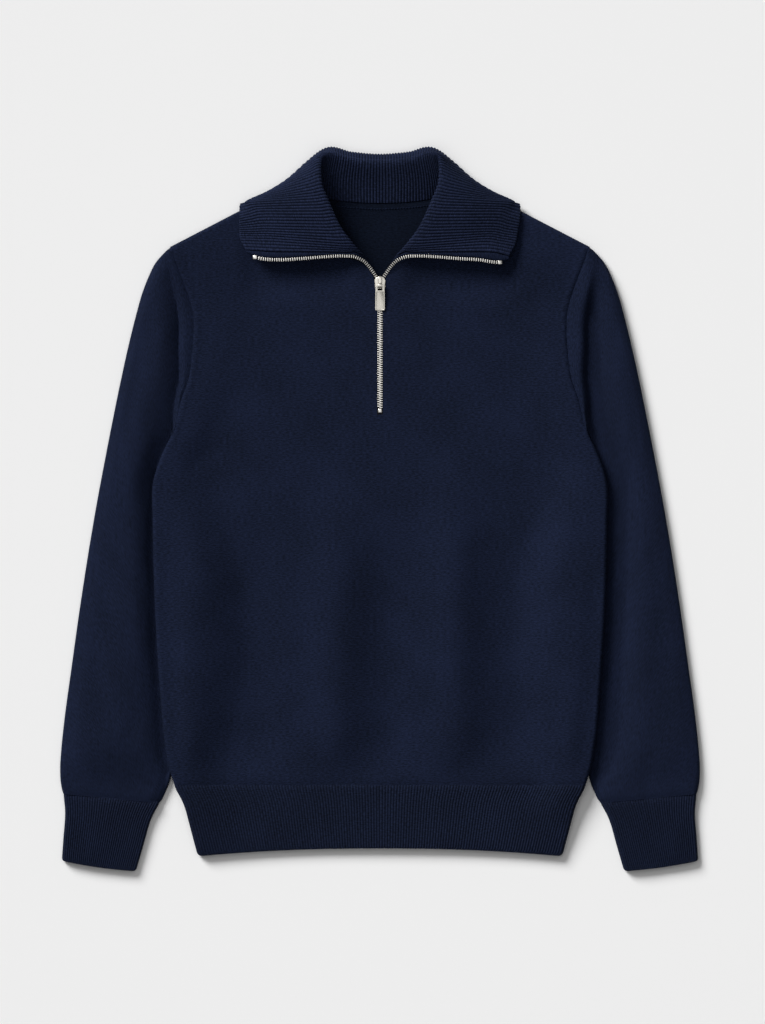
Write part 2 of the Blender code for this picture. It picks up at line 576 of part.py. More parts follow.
def flat_tube(name, rows, ribs, material, collection, side=1.0):
    """Ribbed tube, laid flat. Each row gives its two plan ends, radii, lift and bow; ribs show on top."""
    strips_per_inner = 8
    rib_strips = 2 * ribs
    outer_rows, inner_rows = [], []
    for row in rows:
        start, end = np.array(row["start"]), np.array(row["end"])
        width = np.linalg.norm(end - start)
        tangent = (end - start) / width
        radius = row["radius"]

        def ring(offset, top_count, ridges):
            points = []
            top_at = np.linspace(radius, width - radius, top_count + 1)
            for step, distance in enumerate(top_at):
                ridge = RIB_RIDGE if ridges and step % 2 else 0.0
                points.append((distance, 0.5 * math.pi, ridge))
            for angle in (0.25 * math.pi, 0.0, -0.25 * math.pi):
                points.append((width - radius * (1 - math.cos(angle)), angle, 0.0))
            for distance in row["back"](width, radius):
                points.append((distance, -0.5 * math.pi, 0.0))
            for angle in (-0.25 * math.pi, 0.0, 0.25 * math.pi):
                points.append((radius * (1 - math.cos(angle)), angle, 0.0))
            ring_points = []
            for distance, angle, ridge in points:
                inward = (offset - ridge) * math.cos(angle)
                at = distance + (inward if distance < width / 2 else -inward)
                spot = start + tangent * at
                spot = spot + np.array(row["bow"](distance / width))
                lift = row["lift"](spot[0], distance, width)
                up = lift + radius + (radius - offset + ridge) * math.sin(angle)
                if angle > 1.5:
                    up += row["rise"](spot[0], distance, width)
                ring_points.append((side * spot[0], spot[1], up))
            return ring_points

        outer_rows.append(ring(0.0, rib_strips, True))
        inner_rows.append(ring(RIB_BASE, rib_strips // strips_per_inner, False))
    back_count = len(inner_rows[0]) - rib_strips // strips_per_inner - 1
    match = [strips_per_inner * step for step in range(rib_strips // strips_per_inner + 1)]
    match += [rib_strips + 1 + step for step in range(back_count)]
    return wall(name, np.array(outer_rows), np.array(inner_rows), material, collection, ring=True, match=match)


def hem_band(material, collection):
    """Ribbed band round the bottom of the body, its lower edge bowed up in the middle."""
    rows = []
    for share in (0.0, 0.5, 1.0):
        height = HEM_SEAM - SEAM / 2 + share * (HEM_CORNER - HEM_SEAM + SEAM / 2)
        half = float(body_half(height))

        def bow(along_row, share=share):
            across = abs(2 * along_row - 1)
            return 0.0, share * (HEM_MIDDLE - HEM_CORNER) * (1 - across ** 2.2)

        def lift(across, distance, width, height=height):
            return float(body_lift(across, height))

        def rise(across, distance, width, share=share, height=height):
            return (1 - share) * float(front_rise(across, HEM_SEAM))

        rows.append({
            "start": (-half, height), "end": (half, height), "radius": FOLD - 0.3 * share, "bow": bow,
            "lift": lift, "rise": rise,
            "back": lambda width, radius: np.concatenate([
                [width - radius, width - 14.0, width - 34.0, width - 62.0],
                np.linspace(width - 62.0, 62.0, 9)[1:-1], [62.0, 34.0, 14.0, radius]]),
        })
    return flat_tube("hem_band", rows, HEM_RIBS, material, collection)


def cuff(name, side, material, collection):
    """Ribbed cuff, drawn in at its seam and flared to its end."""
    rows = []
    stages = (("seam", 0.0), ("waist", 0.3), ("mid", 0.62), ("end", 1.0))
    for stage, share in stages:
        if stage == "mid":
            start = 0.5 * (np.array(CUFF["waist inner"]) + np.array(CUFF["end inner"]))
            end = 0.5 * (np.array(CUFF["waist outer"]) + np.array(CUFF["end outer"]))
        else:
            start = np.array(CUFF[stage + " inner"])
            end = np.array(CUFF[stage + " outer"])
        if stage == "seam":
            start, end = start - (0.0, SEAM / 2), end - (0.0, SEAM / 2)
        rows.append({
            "start": start, "end": end, "radius": 3.5 + 0.3 * (1 - share),
            "bow": lambda along_row, share=share: (0.0, -share * 1.2 * math.sin(math.pi * along_row)),
            "lift": lambda across, distance, width: 0.0,
            "rise": lambda across, distance, width: 0.6 * math.sin(math.pi * distance / width),
            "back": lambda width, radius: np.linspace(width - radius, radius, 7),
        })
    return flat_tube(name, rows, CUFF_RIBS, material, collection, side)


def collar_section(row):
    """Eight points of one collar section, worked out from its five named ones."""
    seam, stand, roll = (np.array(row[key], float) for key in ("seam", "stand", "roll"))
    crest, edge = np.array(row["crest"], float), np.array(row["edge"], float)
    run = np.linalg.norm((crest - roll)[:2])
    crown = roll + min(0.5, CROWN_RUN / run) * (crest - roll)
    crown[2] += 2.5 * (roll[2] - seam[2]) / 20.0
    fall = 0.5 * (crown + crest) + (0.0, 0.0, 1.5)
    if edge[2] < 3.0:
        reach = edge - crest
        tuck = crest + TUCK_RUN * reach / np.linalg.norm(reach[:2])
        tuck[2] = TUCKED + 0.4
    else:
        tuck = 0.5 * (crest + edge)
    return np.array([seam, stand, roll, crown, fall, crest, tuck, edge])


COLLAR_STOPS = (0.0, 1.0, 2.0, 3.0, 3.9, 5.0, 5.5, 6.0, 7.0)


def collar_grid(columns):
    """Middle of the collar's cloth: a row for each stop down a section, a column for each step round it."""
    half = np.array([collar_section(row) for row in COLLAR])
    mirrored = half[-2::-1] * np.array([-1.0, 1.0, 1.0])
    sections = np.concatenate([half, mirrored])
    left = sections[..., 0] > 0
    outwards = ease((sections[..., 0] - (148.0 - LEFT_CORNER["reach"])) / LEFT_CORNER["reach"])
    front = ease((706.0 - sections[..., 1]) / 50.0)
    weight = np.where(left, outwards * front, 0.0)
    sections[..., 0] += LEFT_CORNER["across"] * weight
    sections[..., 1] += LEFT_CORNER["height"] * weight
    ribs = np.array([row["rib"] for row in COLLAR])
    ribs = np.concatenate([ribs, COLLAR_RIBS - ribs[-2::-1]])
    at = np.linspace(0.0, COLLAR_RIBS, columns)
    grid = np.stack([curve(ribs, sections[:, k], at) for k in range(sections.shape[1])], axis=0)
    stops = np.array(COLLAR_STOPS)
    return curve(np.arange(sections.shape[1]), grid, stops)


def grid_normals(grid):
    down = np.gradient(grid, axis=0)
    round_ = np.gradient(grid, axis=1)
    normals = np.cross(down, round_)
    normals /= np.linalg.norm(normals, axis=2, keepdims=True)
    return normals


def collar(material, collection):
    """Rib knit collar, turned down: ribs on the face that shows, plain where it lies under the back."""
    strips = 2 * COLLAR_RIBS
    fine = collar_grid(strips + 1)
    normals = grid_normals(fine)
    if normals[4, 20, 2] < 0:
        normals = -normals
    ridge = (np.arange(strips + 1) % 2) * RIB_RIDGE
    shown = ease((normals[..., 2] + 0.45) / 0.5)
    shown[:3] = 1.0
    outer = fine + normals * (CLOTH / 2 - 0.3 + ridge[None, :] * shown)[..., None]
    outer[..., 2] = np.maximum(outer[..., 2], 0.0)
    every = 4
    inner = (fine - normals * (CLOTH / 2 - 0.1))[:, ::every]
    return wall("collar", outer, inner, material, collection, match=range(0, strips + 1, every))


def zip_edge(side):
    """Front edge of the collar on one side and the open teeth beside it, point for point."""
    grid = collar_grid(2 * COLLAR_RIBS + 1)
    edge = grid[:, 0] if side > 0 else grid[:, -1]
    table = np.stack([np.array(OPEN_TEETH[key]) for key in ("across", "height", "up")], axis=1)
    if side > 0:
        outwards = ease((table[:, 0] - (148.0 - LEFT_CORNER["reach"] - 6.0)) / LEFT_CORNER["reach"])
        table[:, 0] += LEFT_CORNER["across"] * outwards
        table[:, 1] += LEFT_CORNER["height"] * outwards
    steps = np.linalg.norm(np.diff(table, axis=0), axis=1)
    travelled = np.concatenate([[0.0], np.cumsum(steps)])
    share = np.array([0.0, 0.06, 0.12, 0.19, 0.3, 0.45, 0.6, 0.75, 0.88, 0.955, 1.0])
    teeth = curve(travelled, table, share * travelled[-1])
    teeth[:, 0] *= side
    fine_edge = curve(np.arange(len(edge)), edge, np.linspace(0, len(edge) - 1, 90))
    cloth_edge = along(fine_edge, share * EDGE_REACH)
    return cloth_edge, teeth


def zip_frame(side):
    """Across and normal directions of the strip between the cloth's edge and the teeth."""
    cloth_edge, teeth = zip_edge(side)
    across = teeth - cloth_edge
    across /= np.linalg.norm(across, axis=1, keepdims=True)
    along_edge = np.gradient(teeth, axis=0)
    normal = np.cross(across, along_edge) * -side
    normal /= np.linalg.norm(normal, axis=1, keepdims=True)
    return cloth_edge, teeth, across, normal


def lapel_pieces(side, word, cloth, metal, collection):
    """Plain edge band of the lapel, the open teeth beyond it and the stop at their end."""
    cloth_edge, teeth, across, normal = zip_frame(side)
    share = np.linspace(0.0, 1.0, len(teeth))[:, None]
    near = cloth_edge + across * (0.5 + 1.7 * (1.0 - ease(share / 0.6)))
    far = teeth - across * (TEETH_WIDTH / 2 + SEAM)
    strip("collar_edge_" + word, near, far, normal, BAND_THICK, cloth, collection)
    run = slice(0, len(teeth) - 1)
    strip("zip_teeth_" + word, (teeth - across * TEETH_WIDTH / 2)[run], (teeth + across * TEETH_WIDTH / 2)[run],
          normal[run], TEETH_DEPTH, metal, collection)


def slit_level(height):
    return front_top(SLIT_HALF, height)


def zip_run(material_metal, material_tape, collection):
    """Closed chain in the slit, its two tapes under the slit's edges, and the bottom stop."""
    heights = np.linspace(SLIT_END + 6.6, SLIT_TOP + 0.6, 7)
    top = slit_level(heights) - SEAM
    middle = top - CHAIN_DEPTH / 2
    up = np.tile((0.0, 0.0, 1.0), (len(heights), 1))
    half = np.full(len(heights), CHAIN_WIDTH / 2)
    strip("zip_chain", np.stack([-half, heights, middle], axis=1), np.stack([half, heights, middle], axis=1),
          up, CHAIN_DEPTH, material_metal, collection)
    heights = np.linspace(TAPE_END, SLIT_TOP - 1.0, 8)
    middle = slit_level(heights) - CLOTH - SEAM - TAPE_THICK / 2
    inner = np.where(heights < SLIT_END + 6.0, 0.3, SLIT_HALF) + 0 * heights
    for side, word in ((1.0, "left"), (-1.0, "right")):
        near = np.stack([side * inner, heights, middle], axis=1)
        far = np.stack([side * (SLIT_HALF + TAPE_WIDTH) + 0 * heights, heights,
                        front_top(side * (SLIT_HALF + TAPE_WIDTH), heights) - CLOTH - SEAM - TAPE_THICK / 2], axis=1)
        tape_up = np.tile((0.0, 0.0, 1.0), (len(heights), 1))
        strip("zip_tape_" + word, near, far, tape_up, TAPE_THICK, material_tape, collection)


def block(name, centre, size, material, collection, bevel):
    """Bevelled block at a place in millimetres."""
    bpy.ops.mesh.primitive_cube_add(size=1.0)
    item = bpy.context.object
    item.name = name
    item.scale = [value * MM for value in size]
    bpy.ops.object.transform_apply(location=False, rotation=False, scale=True)
    item.location = (centre[0] * MM, (centre[1] - MIDDLE_HEIGHT) * MM, centre[2] * MM)
    edges = item.modifiers.new("edges", "BEVEL")
    edges.width = bevel * MM
    edges.segments = 2
    item.data.materials.append(material)
    move_to(item, collection)
    return item


def move_to(item, collection):
    for held in list(item.users_collection):
        held.objects.unlink(item)
    collection.objects.link(item)


def stops(material, collection):
    level = float(slit_level(SLIT_END + 4.0)) - 1.5
    block("zip_bottom_stop", (0.0, SLIT_END + 4.1, level), (5.8, 4.2, 3.0), material, collection, 0.7)
    for side, word in ((1.0, "left"), (-1.0, "right")):
        teeth = zip_frame(side)[1]
        direction = teeth[-1] - teeth[-2]
        direction /= np.linalg.norm(direction)
        centre = teeth[-2] + direction * (SEAM + 2.6)
        item = block("zip_top_stop_" + word, centre, (4.8, 3.6, 3.0), material, collection, 0.6)
        item.rotation_euler = (0.0, -math.asin(direction[2]) * side, math.atan(direction[1] / direction[0]))


def outline_plate(name, half_outline, thick, centre, material, collection):
    """Flat plate with a symmetric outline, made as a filled 2D curve."""
    data = bpy.data.curves.new(name, "CURVE")
    data.dimensions = "2D"
    data.fill_mode = "BOTH"
    data.extrude = thick / 2 * MM
    outline = list(half_outline) + [(-x, y) for x, y in reversed(half_outline)]
    spline = data.splines.new("POLY")
    spline.points.add(len(outline) - 1)
    for point, (x, y) in zip(spline.points, outline):
        point.co = (x * MM, y * MM, 0.0, 1.0)
    spline.use_cyclic_u = True
    flat = bpy.data.objects.new(name + "_outline", data)
    collection.objects.link(flat)
    flat.location = (centre[0] * MM, (centre[1] - MIDDLE_HEIGHT) * MM, centre[2] * MM)
    bpy.context.view_layer.update()
    mesh = bpy.data.meshes.new_from_object(flat.evaluated_get(bpy.context.evaluated_depsgraph_get()))
    shape = bmesh.new()
    shape.from_mesh(mesh)
    bmesh.ops.remove_doubles(shape, verts=shape.verts, dist=1e-6)
    bmesh.ops.recalc_face_normals(shape, faces=shape.faces)
    shape.to_mesh(mesh)
    shape.free()
    item = bpy.data.objects.new(name, mesh)
    item.matrix_world = flat.matrix_world
    bpy.data.objects.remove(flat, do_unlink=True)
    item.data.materials.clear()
    item.data.materials.append(material)
    collection.objects.link(item)
    return item


def join_with(item, cutter, operation):
    modifier = item.modifiers.new(operation.lower(), "BOOLEAN")
    modifier.operation = operation
    modifier.object = cutter
    modifier.solver = "EXACT"


def rod(name, radius, width, centre, collection, material):
    """Cylinder along X."""
    bpy.ops.mesh.primitive_cylinder_add(vertices=24, radius=radius * MM, depth=width * MM,
                                        rotation=(0.0, math.pi / 2, 0.0))
    item = bpy.context.object
    item.name = name
    item.location = (centre[0] * MM, (centre[1] - MIDDLE_HEIGHT) * MM, centre[2] * MM)
    item.data.materials.append(material)
    move_to(item, collection)
    return item


def as_guide(item):
    item.hide_render = True
    item.display_type = "WIRE"


def slider_and_pull(material, collection, cutters):
    """Slider with its two plates, post and bail, and the pull tab hinged in the bail."""
    chain_top = float(slit_level(PIVOT_HEIGHT)) - SEAM
    pivot = (0.0, PIVOT_HEIGHT, chain_top + PIVOT_OVER_CHAIN)
    plate_top = chain_top + PLATE_OVER_CHAIN + PLATE_THICK
    body = outline_plate("zip_slider", SLIDER_PLATE, PLATE_THICK,
                         (0.0, PIVOT_HEIGHT, plate_top - PLATE_THICK / 2), material, collection)
    lower_top = chain_top + SEAM - CLOTH - SEAM - TAPE_THICK - SEAM
    lower = outline_plate("slider_lower_plate", [(x * 0.76, y) for x, y in SLIDER_PLATE], 1.2,
                          (0.0, PIVOT_HEIGHT, lower_top - 0.6), material, cutters)
    post_bottom = lower_top - 0.4
    post_top = plate_top - 0.4
    post = block("slider_post", (0.0, PIVOT_HEIGHT + 4.6, 0.5 * (post_bottom + post_top)),
                 (4.6, 7.0, post_top - post_bottom), material, cutters, 0.5)
    ridge = block("slider_ridge", (0.0, PIVOT_HEIGHT + 5.4, plate_top + 0.1), (3.6, 7.4, 1.6), material, cutters, 0.5)
    bail = rod("slider_bail", BAIL_OUTER, BAIL_WIDTH, pivot, cutters, material)
    eye = rod("slider_eye", BAIL_INNER, BAIL_WIDTH * 2, pivot, cutters, material)
    for part in (lower, post, ridge, bail):
        join_with(body, part, "UNION")
        as_guide(part)
    join_with(body, eye, "DIFFERENCE")
    as_guide(eye)

    tab = block("zip_pull", pivot, (TAB_BOTTOM, TAB_LENGTH + TAB_RIM, TAB_THICK), material, collection, 0.3)
    tab.modifiers.clear()
    for vertex in tab.data.vertices:
        vertex.co.y -= 0.5 * (TAB_LENGTH - TAB_RIM) * MM
        if vertex.co.y > 0:
            vertex.co.x *= TAB_TOP / TAB_BOTTOM
    shape = bmesh.new()
    shape.from_mesh(tab.data)
    corners = [edge for edge in shape.edges if abs(edge.verts[0].co.z - edge.verts[1].co.z) > TAB_THICK * MM * 0.5]
    bmesh.ops.bevel(shape, geom=corners, offset=1.6 * MM, segments=3, affect="EDGES", profile=0.5)
    shape.to_mesh(tab.data)
    shape.free()
    level = float(slit_level(PIVOT_HEIGHT - TAB_LENGTH)) + TAB_CLEAR + TAB_THICK / 2
    tab.rotation_euler = (math.asin((pivot[2] - level) / TAB_LENGTH), 0.0, 0.0)
    slot = block("pull_slot", pivot, (TAB_SLOT[0], TAB_SLOT[1], TAB_THICK * 4), material, cutters, 0.6)
    slot.modifiers["edges"].width = 0.6 * MM
    for vertex in slot.data.vertices:
        vertex.co.y -= (TAB_RIM + TAB_SLOT[1] / 2) * MM
    slot.rotation_euler = tab.rotation_euler
    join_with(tab, slot, "DIFFERENCE")
    as_guide(slot)


def build():
    clear_scene()
    garment = new_collection("quarter_zip_sweater")
    cutters = new_collection("cutters")
    knit = new_material("navy_knit", NAVY, 0.92)
    rib = new_material("navy_rib_knit", NAVY_RIB, 0.92)
    tape = new_material("navy_zip_tape", NAVY_TAPE, 0.8)
    nickel = new_material("polished_nickel", NICKEL, 0.25, 1.0)
    front_panel(knit, garment)
    back_panel(knit, garment)
    for side, word in ((1.0, "left"), (-1.0, "right")):
        sleeve("sleeve_" + word, side, knit, garment)
        cuff("cuff_" + word, side, rib, garment)
    hem_band(rib, garment)
    collar(rib, garment)
    for side, word in ((1.0, "left"), (-1.0, "right")):
        lapel_pieces(side, word, rib, nickel, garment)
    zip_run(nickel, tape, garment)
    stops(nickel, garment)
    slider_and_pull(nickel, garment, cutters)


build()
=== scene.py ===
import math

import bpy
import numpy as np
from mathutils import Matrix, Vector, noise


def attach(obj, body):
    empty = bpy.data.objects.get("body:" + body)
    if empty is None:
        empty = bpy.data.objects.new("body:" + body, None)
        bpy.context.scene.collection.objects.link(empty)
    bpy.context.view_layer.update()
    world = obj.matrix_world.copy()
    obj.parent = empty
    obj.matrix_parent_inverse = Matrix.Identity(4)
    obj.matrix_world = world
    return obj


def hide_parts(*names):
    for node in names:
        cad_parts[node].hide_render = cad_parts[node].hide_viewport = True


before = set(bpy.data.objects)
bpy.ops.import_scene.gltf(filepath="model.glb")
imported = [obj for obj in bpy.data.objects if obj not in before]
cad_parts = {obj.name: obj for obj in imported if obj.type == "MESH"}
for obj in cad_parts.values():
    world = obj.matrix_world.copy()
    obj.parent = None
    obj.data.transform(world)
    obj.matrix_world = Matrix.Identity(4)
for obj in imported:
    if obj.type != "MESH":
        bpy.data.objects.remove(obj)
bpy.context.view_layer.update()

scene = bpy.context.scene
mm = 0.001
middleHeight = 384.1  # half the laid length; heights run up the garment from the ends of the cuffs
quarterTurn = 0.5 * math.pi


def softStep(value):
    # from 0 to 1, flat at both ends
    value = np.clip(value, 0, 1)
    return value * value * (3 - 2 * value)


def fade(value, start, end):
    # 0 up to the start, 1 from the end on
    return softStep((value - start) / (end - start))


def bump(distance, wide):
    return np.exp(-((distance / wide) ** 2))


def smoothThrough(knots, values, at):
    # a smooth curve through the values at the knots
    knots = np.asarray(knots, float)
    values = np.asarray(values, float)
    slopes = np.gradient(values, knots, axis=0)
    at = np.clip(np.asarray(at, float), knots[0], knots[-1])
    start = np.clip(np.searchsorted(knots, at) - 1, 0, len(knots) - 2)
    width = knots[start + 1] - knots[start]
    t = (at - knots[start]) / width
    spare = (1,) * (values.ndim - 1)
    t, width = t.reshape(t.shape + spare), width.reshape(width.shape + spare)
    return ((1 + 2 * t) * (1 - t) ** 2 * values[start] + t * (1 - t) ** 2 * width * slopes[start]
            + t * t * (3 - 2 * t) * values[start + 1] + t * t * (t - 1) * width * slopes[start + 1])


def travelOf(points):
    # the distance run at each point of a line
    steps = np.linalg.norm(np.diff(np.asarray(points, float), axis=0), axis=1)
    return np.concatenate([[0], np.cumsum(steps)])


def along(points, share):
    # points at shares of a line's length
    points = np.asarray(points, float)
    travel = travelOf(points)
    target = np.asarray(share, float) * travel[-1]
    return np.stack([np.interp(target, travel, points[:, k]) for k in range(points.shape[1])], axis=-1)


def lengthOf(points):
    return float(travelOf(points)[-1])


def unit(vectors):
    return vectors / np.linalg.norm(vectors, axis=-1, keepdims=True)


def inMetres(points):
    return (np.asarray(points, float) - (0, middleHeight, 0)) * mm


def nothingSelected():
    if bpy.context.object and bpy.context.object.mode != "OBJECT":
        bpy.ops.object.mode_set(mode="OBJECT")
    bpy.ops.object.select_all(action="DESELECT")


def onlySelected(piece):
    nothingSelected()
    piece.select_set(True)
    bpy.context.view_layer.objects.active = piece


def editAll(piece):
    onlySelected(piece)
    bpy.ops.object.mode_set(mode="EDIT")
    bpy.ops.mesh.select_all(action="SELECT")


def editDone():
    bpy.ops.object.mode_set(mode="OBJECT")


def facesOut(piece):
    editAll(piece)
    bpy.ops.mesh.normals_make_consistent(inside=False)
    editDone()


def smoothShaded(piece, angle):
    onlySelected(piece)
    bpy.ops.object.shade_smooth_by_angle(angle=math.radians(angle))
    nothingSelected()


def inScene(name, data):
    item = bpy.data.objects.new(name, data)
    scene.collection.objects.link(item)
    return item


def newPiece(name, points, faces, material):
    # points in mm
    mesh = bpy.data.meshes.new(name)
    mesh.from_pydata(inMetres(points).tolist(), [], faces)
    mesh.materials.append(material)
    return inScene(name, mesh)


def standsFor(piece, node, part="garment"):
    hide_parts(node)
    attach(piece, part)
    return piece


def linearColour(hexCode):
    # sRGB hex to the linear values that a shader takes
    channels = [int(hexCode[k:k + 2], 16) / 255 for k in (1, 3, 5)]
    return tuple(c / 12.92 if c <= 0.04045 else ((c + 0.055) / 1.055) ** 2.4 for c in channels) + (1,)


def addNode(tree, kind, settings=None, inputs=None):
    # one node with its settings, values and links
    node = tree.nodes.new(kind)
    for name, value in (settings or {}).items():
        setattr(node, name, value)
    for key, value in (inputs or {}).items():
        if isinstance(value, bpy.types.NodeSocket):
            tree.links.new(value, node.inputs[key])
        else:
            node.inputs[key].default_value = value
    return node


# navy merino with the lighter fibres of its melange; a stitch is wale by course in mm, drawn coarser than
# real so that it shows
jerseyLook = {
    "dark": "#0a101e", "light": "#192139", "wale": 1.9, "course": 1.5,
    # groove: how strongly painted shade darkens the colour between ribs
    "groove": 0.0, "relief": 0.3, "sheen": 0.05, "specular": 0.08, "roughness": 0.9,
}
insidePaintedShadeLook = jerseyLook | {  # inner faces: the purl side's duller finish, and darker colours that are painted shade, as inside the neck
    "dark": "#070b15", "light": "#0f1625", "sheen": 0.02, "specular": 0.05, "roughness": 0.95,
}
# the collar's ribbing: the same yarn as the band's, with lighter colours as painted light for its brighter
# look
collarRibLitLook = jerseyLook | {
    "dark": "#0f1524", "light": "#222a45", "wale": 3, "course": 1.6, "groove": 0.14, "sheen": 0.1,
}
bandLook = collarRibLitLook | {"dark": "#0a0f1c", "light": "#182036", "groove": 0.05, "sheen": 0.07}
threadLook = jerseyLook | {
    "dark": "#070b16", "light": "#0f1528", "wale": 0.6, "course": 0.8,
    "sheen": 0.03, "specular": 0.15, "roughness": 0.7,
}


def nodesOf(name):
    material = bpy.data.materials.new(name)
    material.use_nodes = True
    return material, material.node_tree


def rampBetween(tree, factor, dark, light, places=(0, 1)):
    ramp = addNode(tree, "ShaderNodeValToRGB", inputs={"Fac": factor})
    for element, place, colour in zip(ramp.color_ramp.elements, places, (dark, light)):
        element.position = place
        element.color = linearColour(colour)
    return ramp.outputs["Color"]


def finishShader(tree, colour, height, strength, distance, values):
    # the shader's colour, its relief from a height, and its plain values
    shader = tree.nodes["Principled BSDF"]
    relief = addNode(tree, "ShaderNodeBump", inputs={
        "Height": height, "Strength": strength, "Distance": distance})
    tree.links.new(colour, shader.inputs["Base Color"])
    tree.links.new(relief.outputs["Normal"], shader.inputs["Normal"])
    for key, value in values.items():
        shader.inputs[key].default_value = value


def knitMaterial(name, look):
    # wool knit: matt, a soft halo of fibres at grazing angles, rows of V stitches and a faint melange
    material, tree = nodesOf(name)
    cloth = addNode(tree, "ShaderNodeUVMap", {"uv_map": "stitches"})  # in metres
    place = addNode(tree, "ShaderNodeSeparateXYZ", inputs={0: cloth.outputs["UV"]})
    # melange: flecks that follow the rows, about 4 mm long and 1 mm high, and slow clouds of dye
    rows = addNode(tree, "ShaderNodeMapping", inputs={
        "Vector": cloth.outputs["UV"], "Scale": (270, 820, 1)})
    fleck = addNode(tree, "ShaderNodeTexNoise", inputs={
        "Vector": rows.outputs[0], "Scale": 1, "Detail": 2, "Roughness": 0.65})
    cloud = addNode(tree, "ShaderNodeTexNoise", inputs={
        "Vector": cloth.outputs["UV"], "Scale": 16, "Detail": 3, "Roughness": 0.55})
    made = {"x": place.outputs["X"], "y": place.outputs["Y"],
            "fleck": fleck.outputs[0], "cloud": cloud.outputs[0]}
    # each line: what it makes, how, and from which values
    for label, operation, *values in (
            # a wale is two legs that lean together, and their loops lock row in row
            ("legs", "MULTIPLY", "x", 1 / (look["wale"] * mm)),
            ("leg", "PINGPONG", "legs", 0.5),
            ("courses", "MULTIPLY", "y", 2 * math.pi / (look["course"] * mm)),
            ("leaning", "MULTIPLY_ADD", "leg", 8.2, "courses"),
            ("wave", "SINE", "leaning"),
            ("loops", "MULTIPLY_ADD", "wave", 0.3, 0.7),
            ("turn", "MULTIPLY", "leg", 2 * math.pi),
            ("swell", "SINE", "turn"),
            ("stitch", "MULTIPLY", "swell", "loops"),
            ("clouded", "MULTIPLY", "cloud", 0.2),
            ("flecked", "MULTIPLY_ADD", "fleck", 0.68, "clouded"),
            ("knitted", "MULTIPLY_ADD", "stitch", 0.12, "flecked"),
            # painted shade: the colour darkens between two ribs, where less light comes back
            ("between", "MULTIPLY_ADD", "leg", -2, 1),
            ("hollow", "POWER", "between", 2.5),
            ("tone", "MULTIPLY_ADD", "hollow", -look["groove"], "knitted"),
            ("height", "MULTIPLY_ADD", "fleck", 0.5, "stitch")):
        inputs = dict(enumerate(made.get(value, value) for value in values))
        made[label] = addNode(tree, "ShaderNodeMath", {"operation": operation}, inputs).outputs[0]
    colour = rampBetween(tree, made["tone"], look["dark"], look["light"], (0.37, 0.63))
    finishShader(tree, colour, made["height"], look["relief"], 0.0004, {
        "Roughness": look["roughness"], "Specular IOR Level": look["specular"], "Sheen Weight": look["sheen"],
        "Sheen Roughness": 0.4, "Sheen Tint": linearColour("#7f93c8")})
    return material


def tapeMaterial(name):
    # woven polyester zip tape: flat, slightly shiny, with a fine herringbone
    material, tree = nodesOf(name)
    spots = addNode(tree, "ShaderNodeTexCoord")
    weave = addNode(tree, "ShaderNodeTexWave", {"wave_type": "BANDS", "bands_direction": "DIAGONAL"}, {
        "Vector": spots.outputs["Object"], "Scale": 260, "Distortion": 0.6})
    colour = rampBetween(tree, weave.outputs["Fac"], "#06080e", "#11162a")
    finishShader(tree, colour, weave.outputs["Fac"], 0.5, 0.0002, {"Roughness": 0.7})
    return material


def nickelMaterial(name, roughness, dark, light, brushed):
    # satin nickel plate: warm silver, its highlights spread by fine brushing
    material, tree = nodesOf(name)
    spots = addNode(tree, "ShaderNodeTexCoord")
    lines = addNode(tree, "ShaderNodeMapping", inputs={
        "Vector": spots.outputs["Object"], "Scale": (2600, 90, 900)})
    grain = addNode(tree, "ShaderNodeTexNoise", inputs={"Vector": lines.outputs[0], "Scale": 1, "Detail": 3})
    colour = rampBetween(tree, grain.outputs[0], dark, light, (0.3, 0.7))
    finishShader(tree, colour, grain.outputs[0], brushed, 0.00005, {"Metallic": 1, "Roughness": roughness})
    return material


jersey = knitMaterial("merinoJersey", jerseyLook)
jerseyInsidePaintedShade = knitMaterial("merinoJerseyInsidePaintedShade", insidePaintedShadeLook)
collarRibbingPaintedLight = knitMaterial("merinoCollarRibbingPaintedLight", collarRibLitLook)
bandRibbing = knitMaterial("merinoBandRibbing", bandLook)
thread = knitMaterial("navySewingThread", threadLook)
wovenTape = tapeMaterial("wovenZipTape")
satinNickel = nickelMaterial("satinNickelPlate", 0.38, "#d9d5cb", "#e9e5dc", 0.12)
castTeeth = nickelMaterial("polishedNickelTeeth", 0.42, "#dedbd4", "#f6f4f0", 0.1)
print("materials ready")


def uvFromGrid(grid):
    # distances over the cloth in metres: across the columns and along the rows
    across = np.linalg.norm(np.diff(grid, axis=1), axis=2)
    down = np.linalg.norm(np.diff(grid, axis=0), axis=2)
    u = np.concatenate([np.zeros((len(grid), 1)), np.cumsum(across, axis=1)], axis=1)
    v = np.concatenate([np.zeros((1, grid.shape[1])), np.cumsum(down, axis=0)], axis=0)
    return np.stack([u, v], axis=-1) * mm


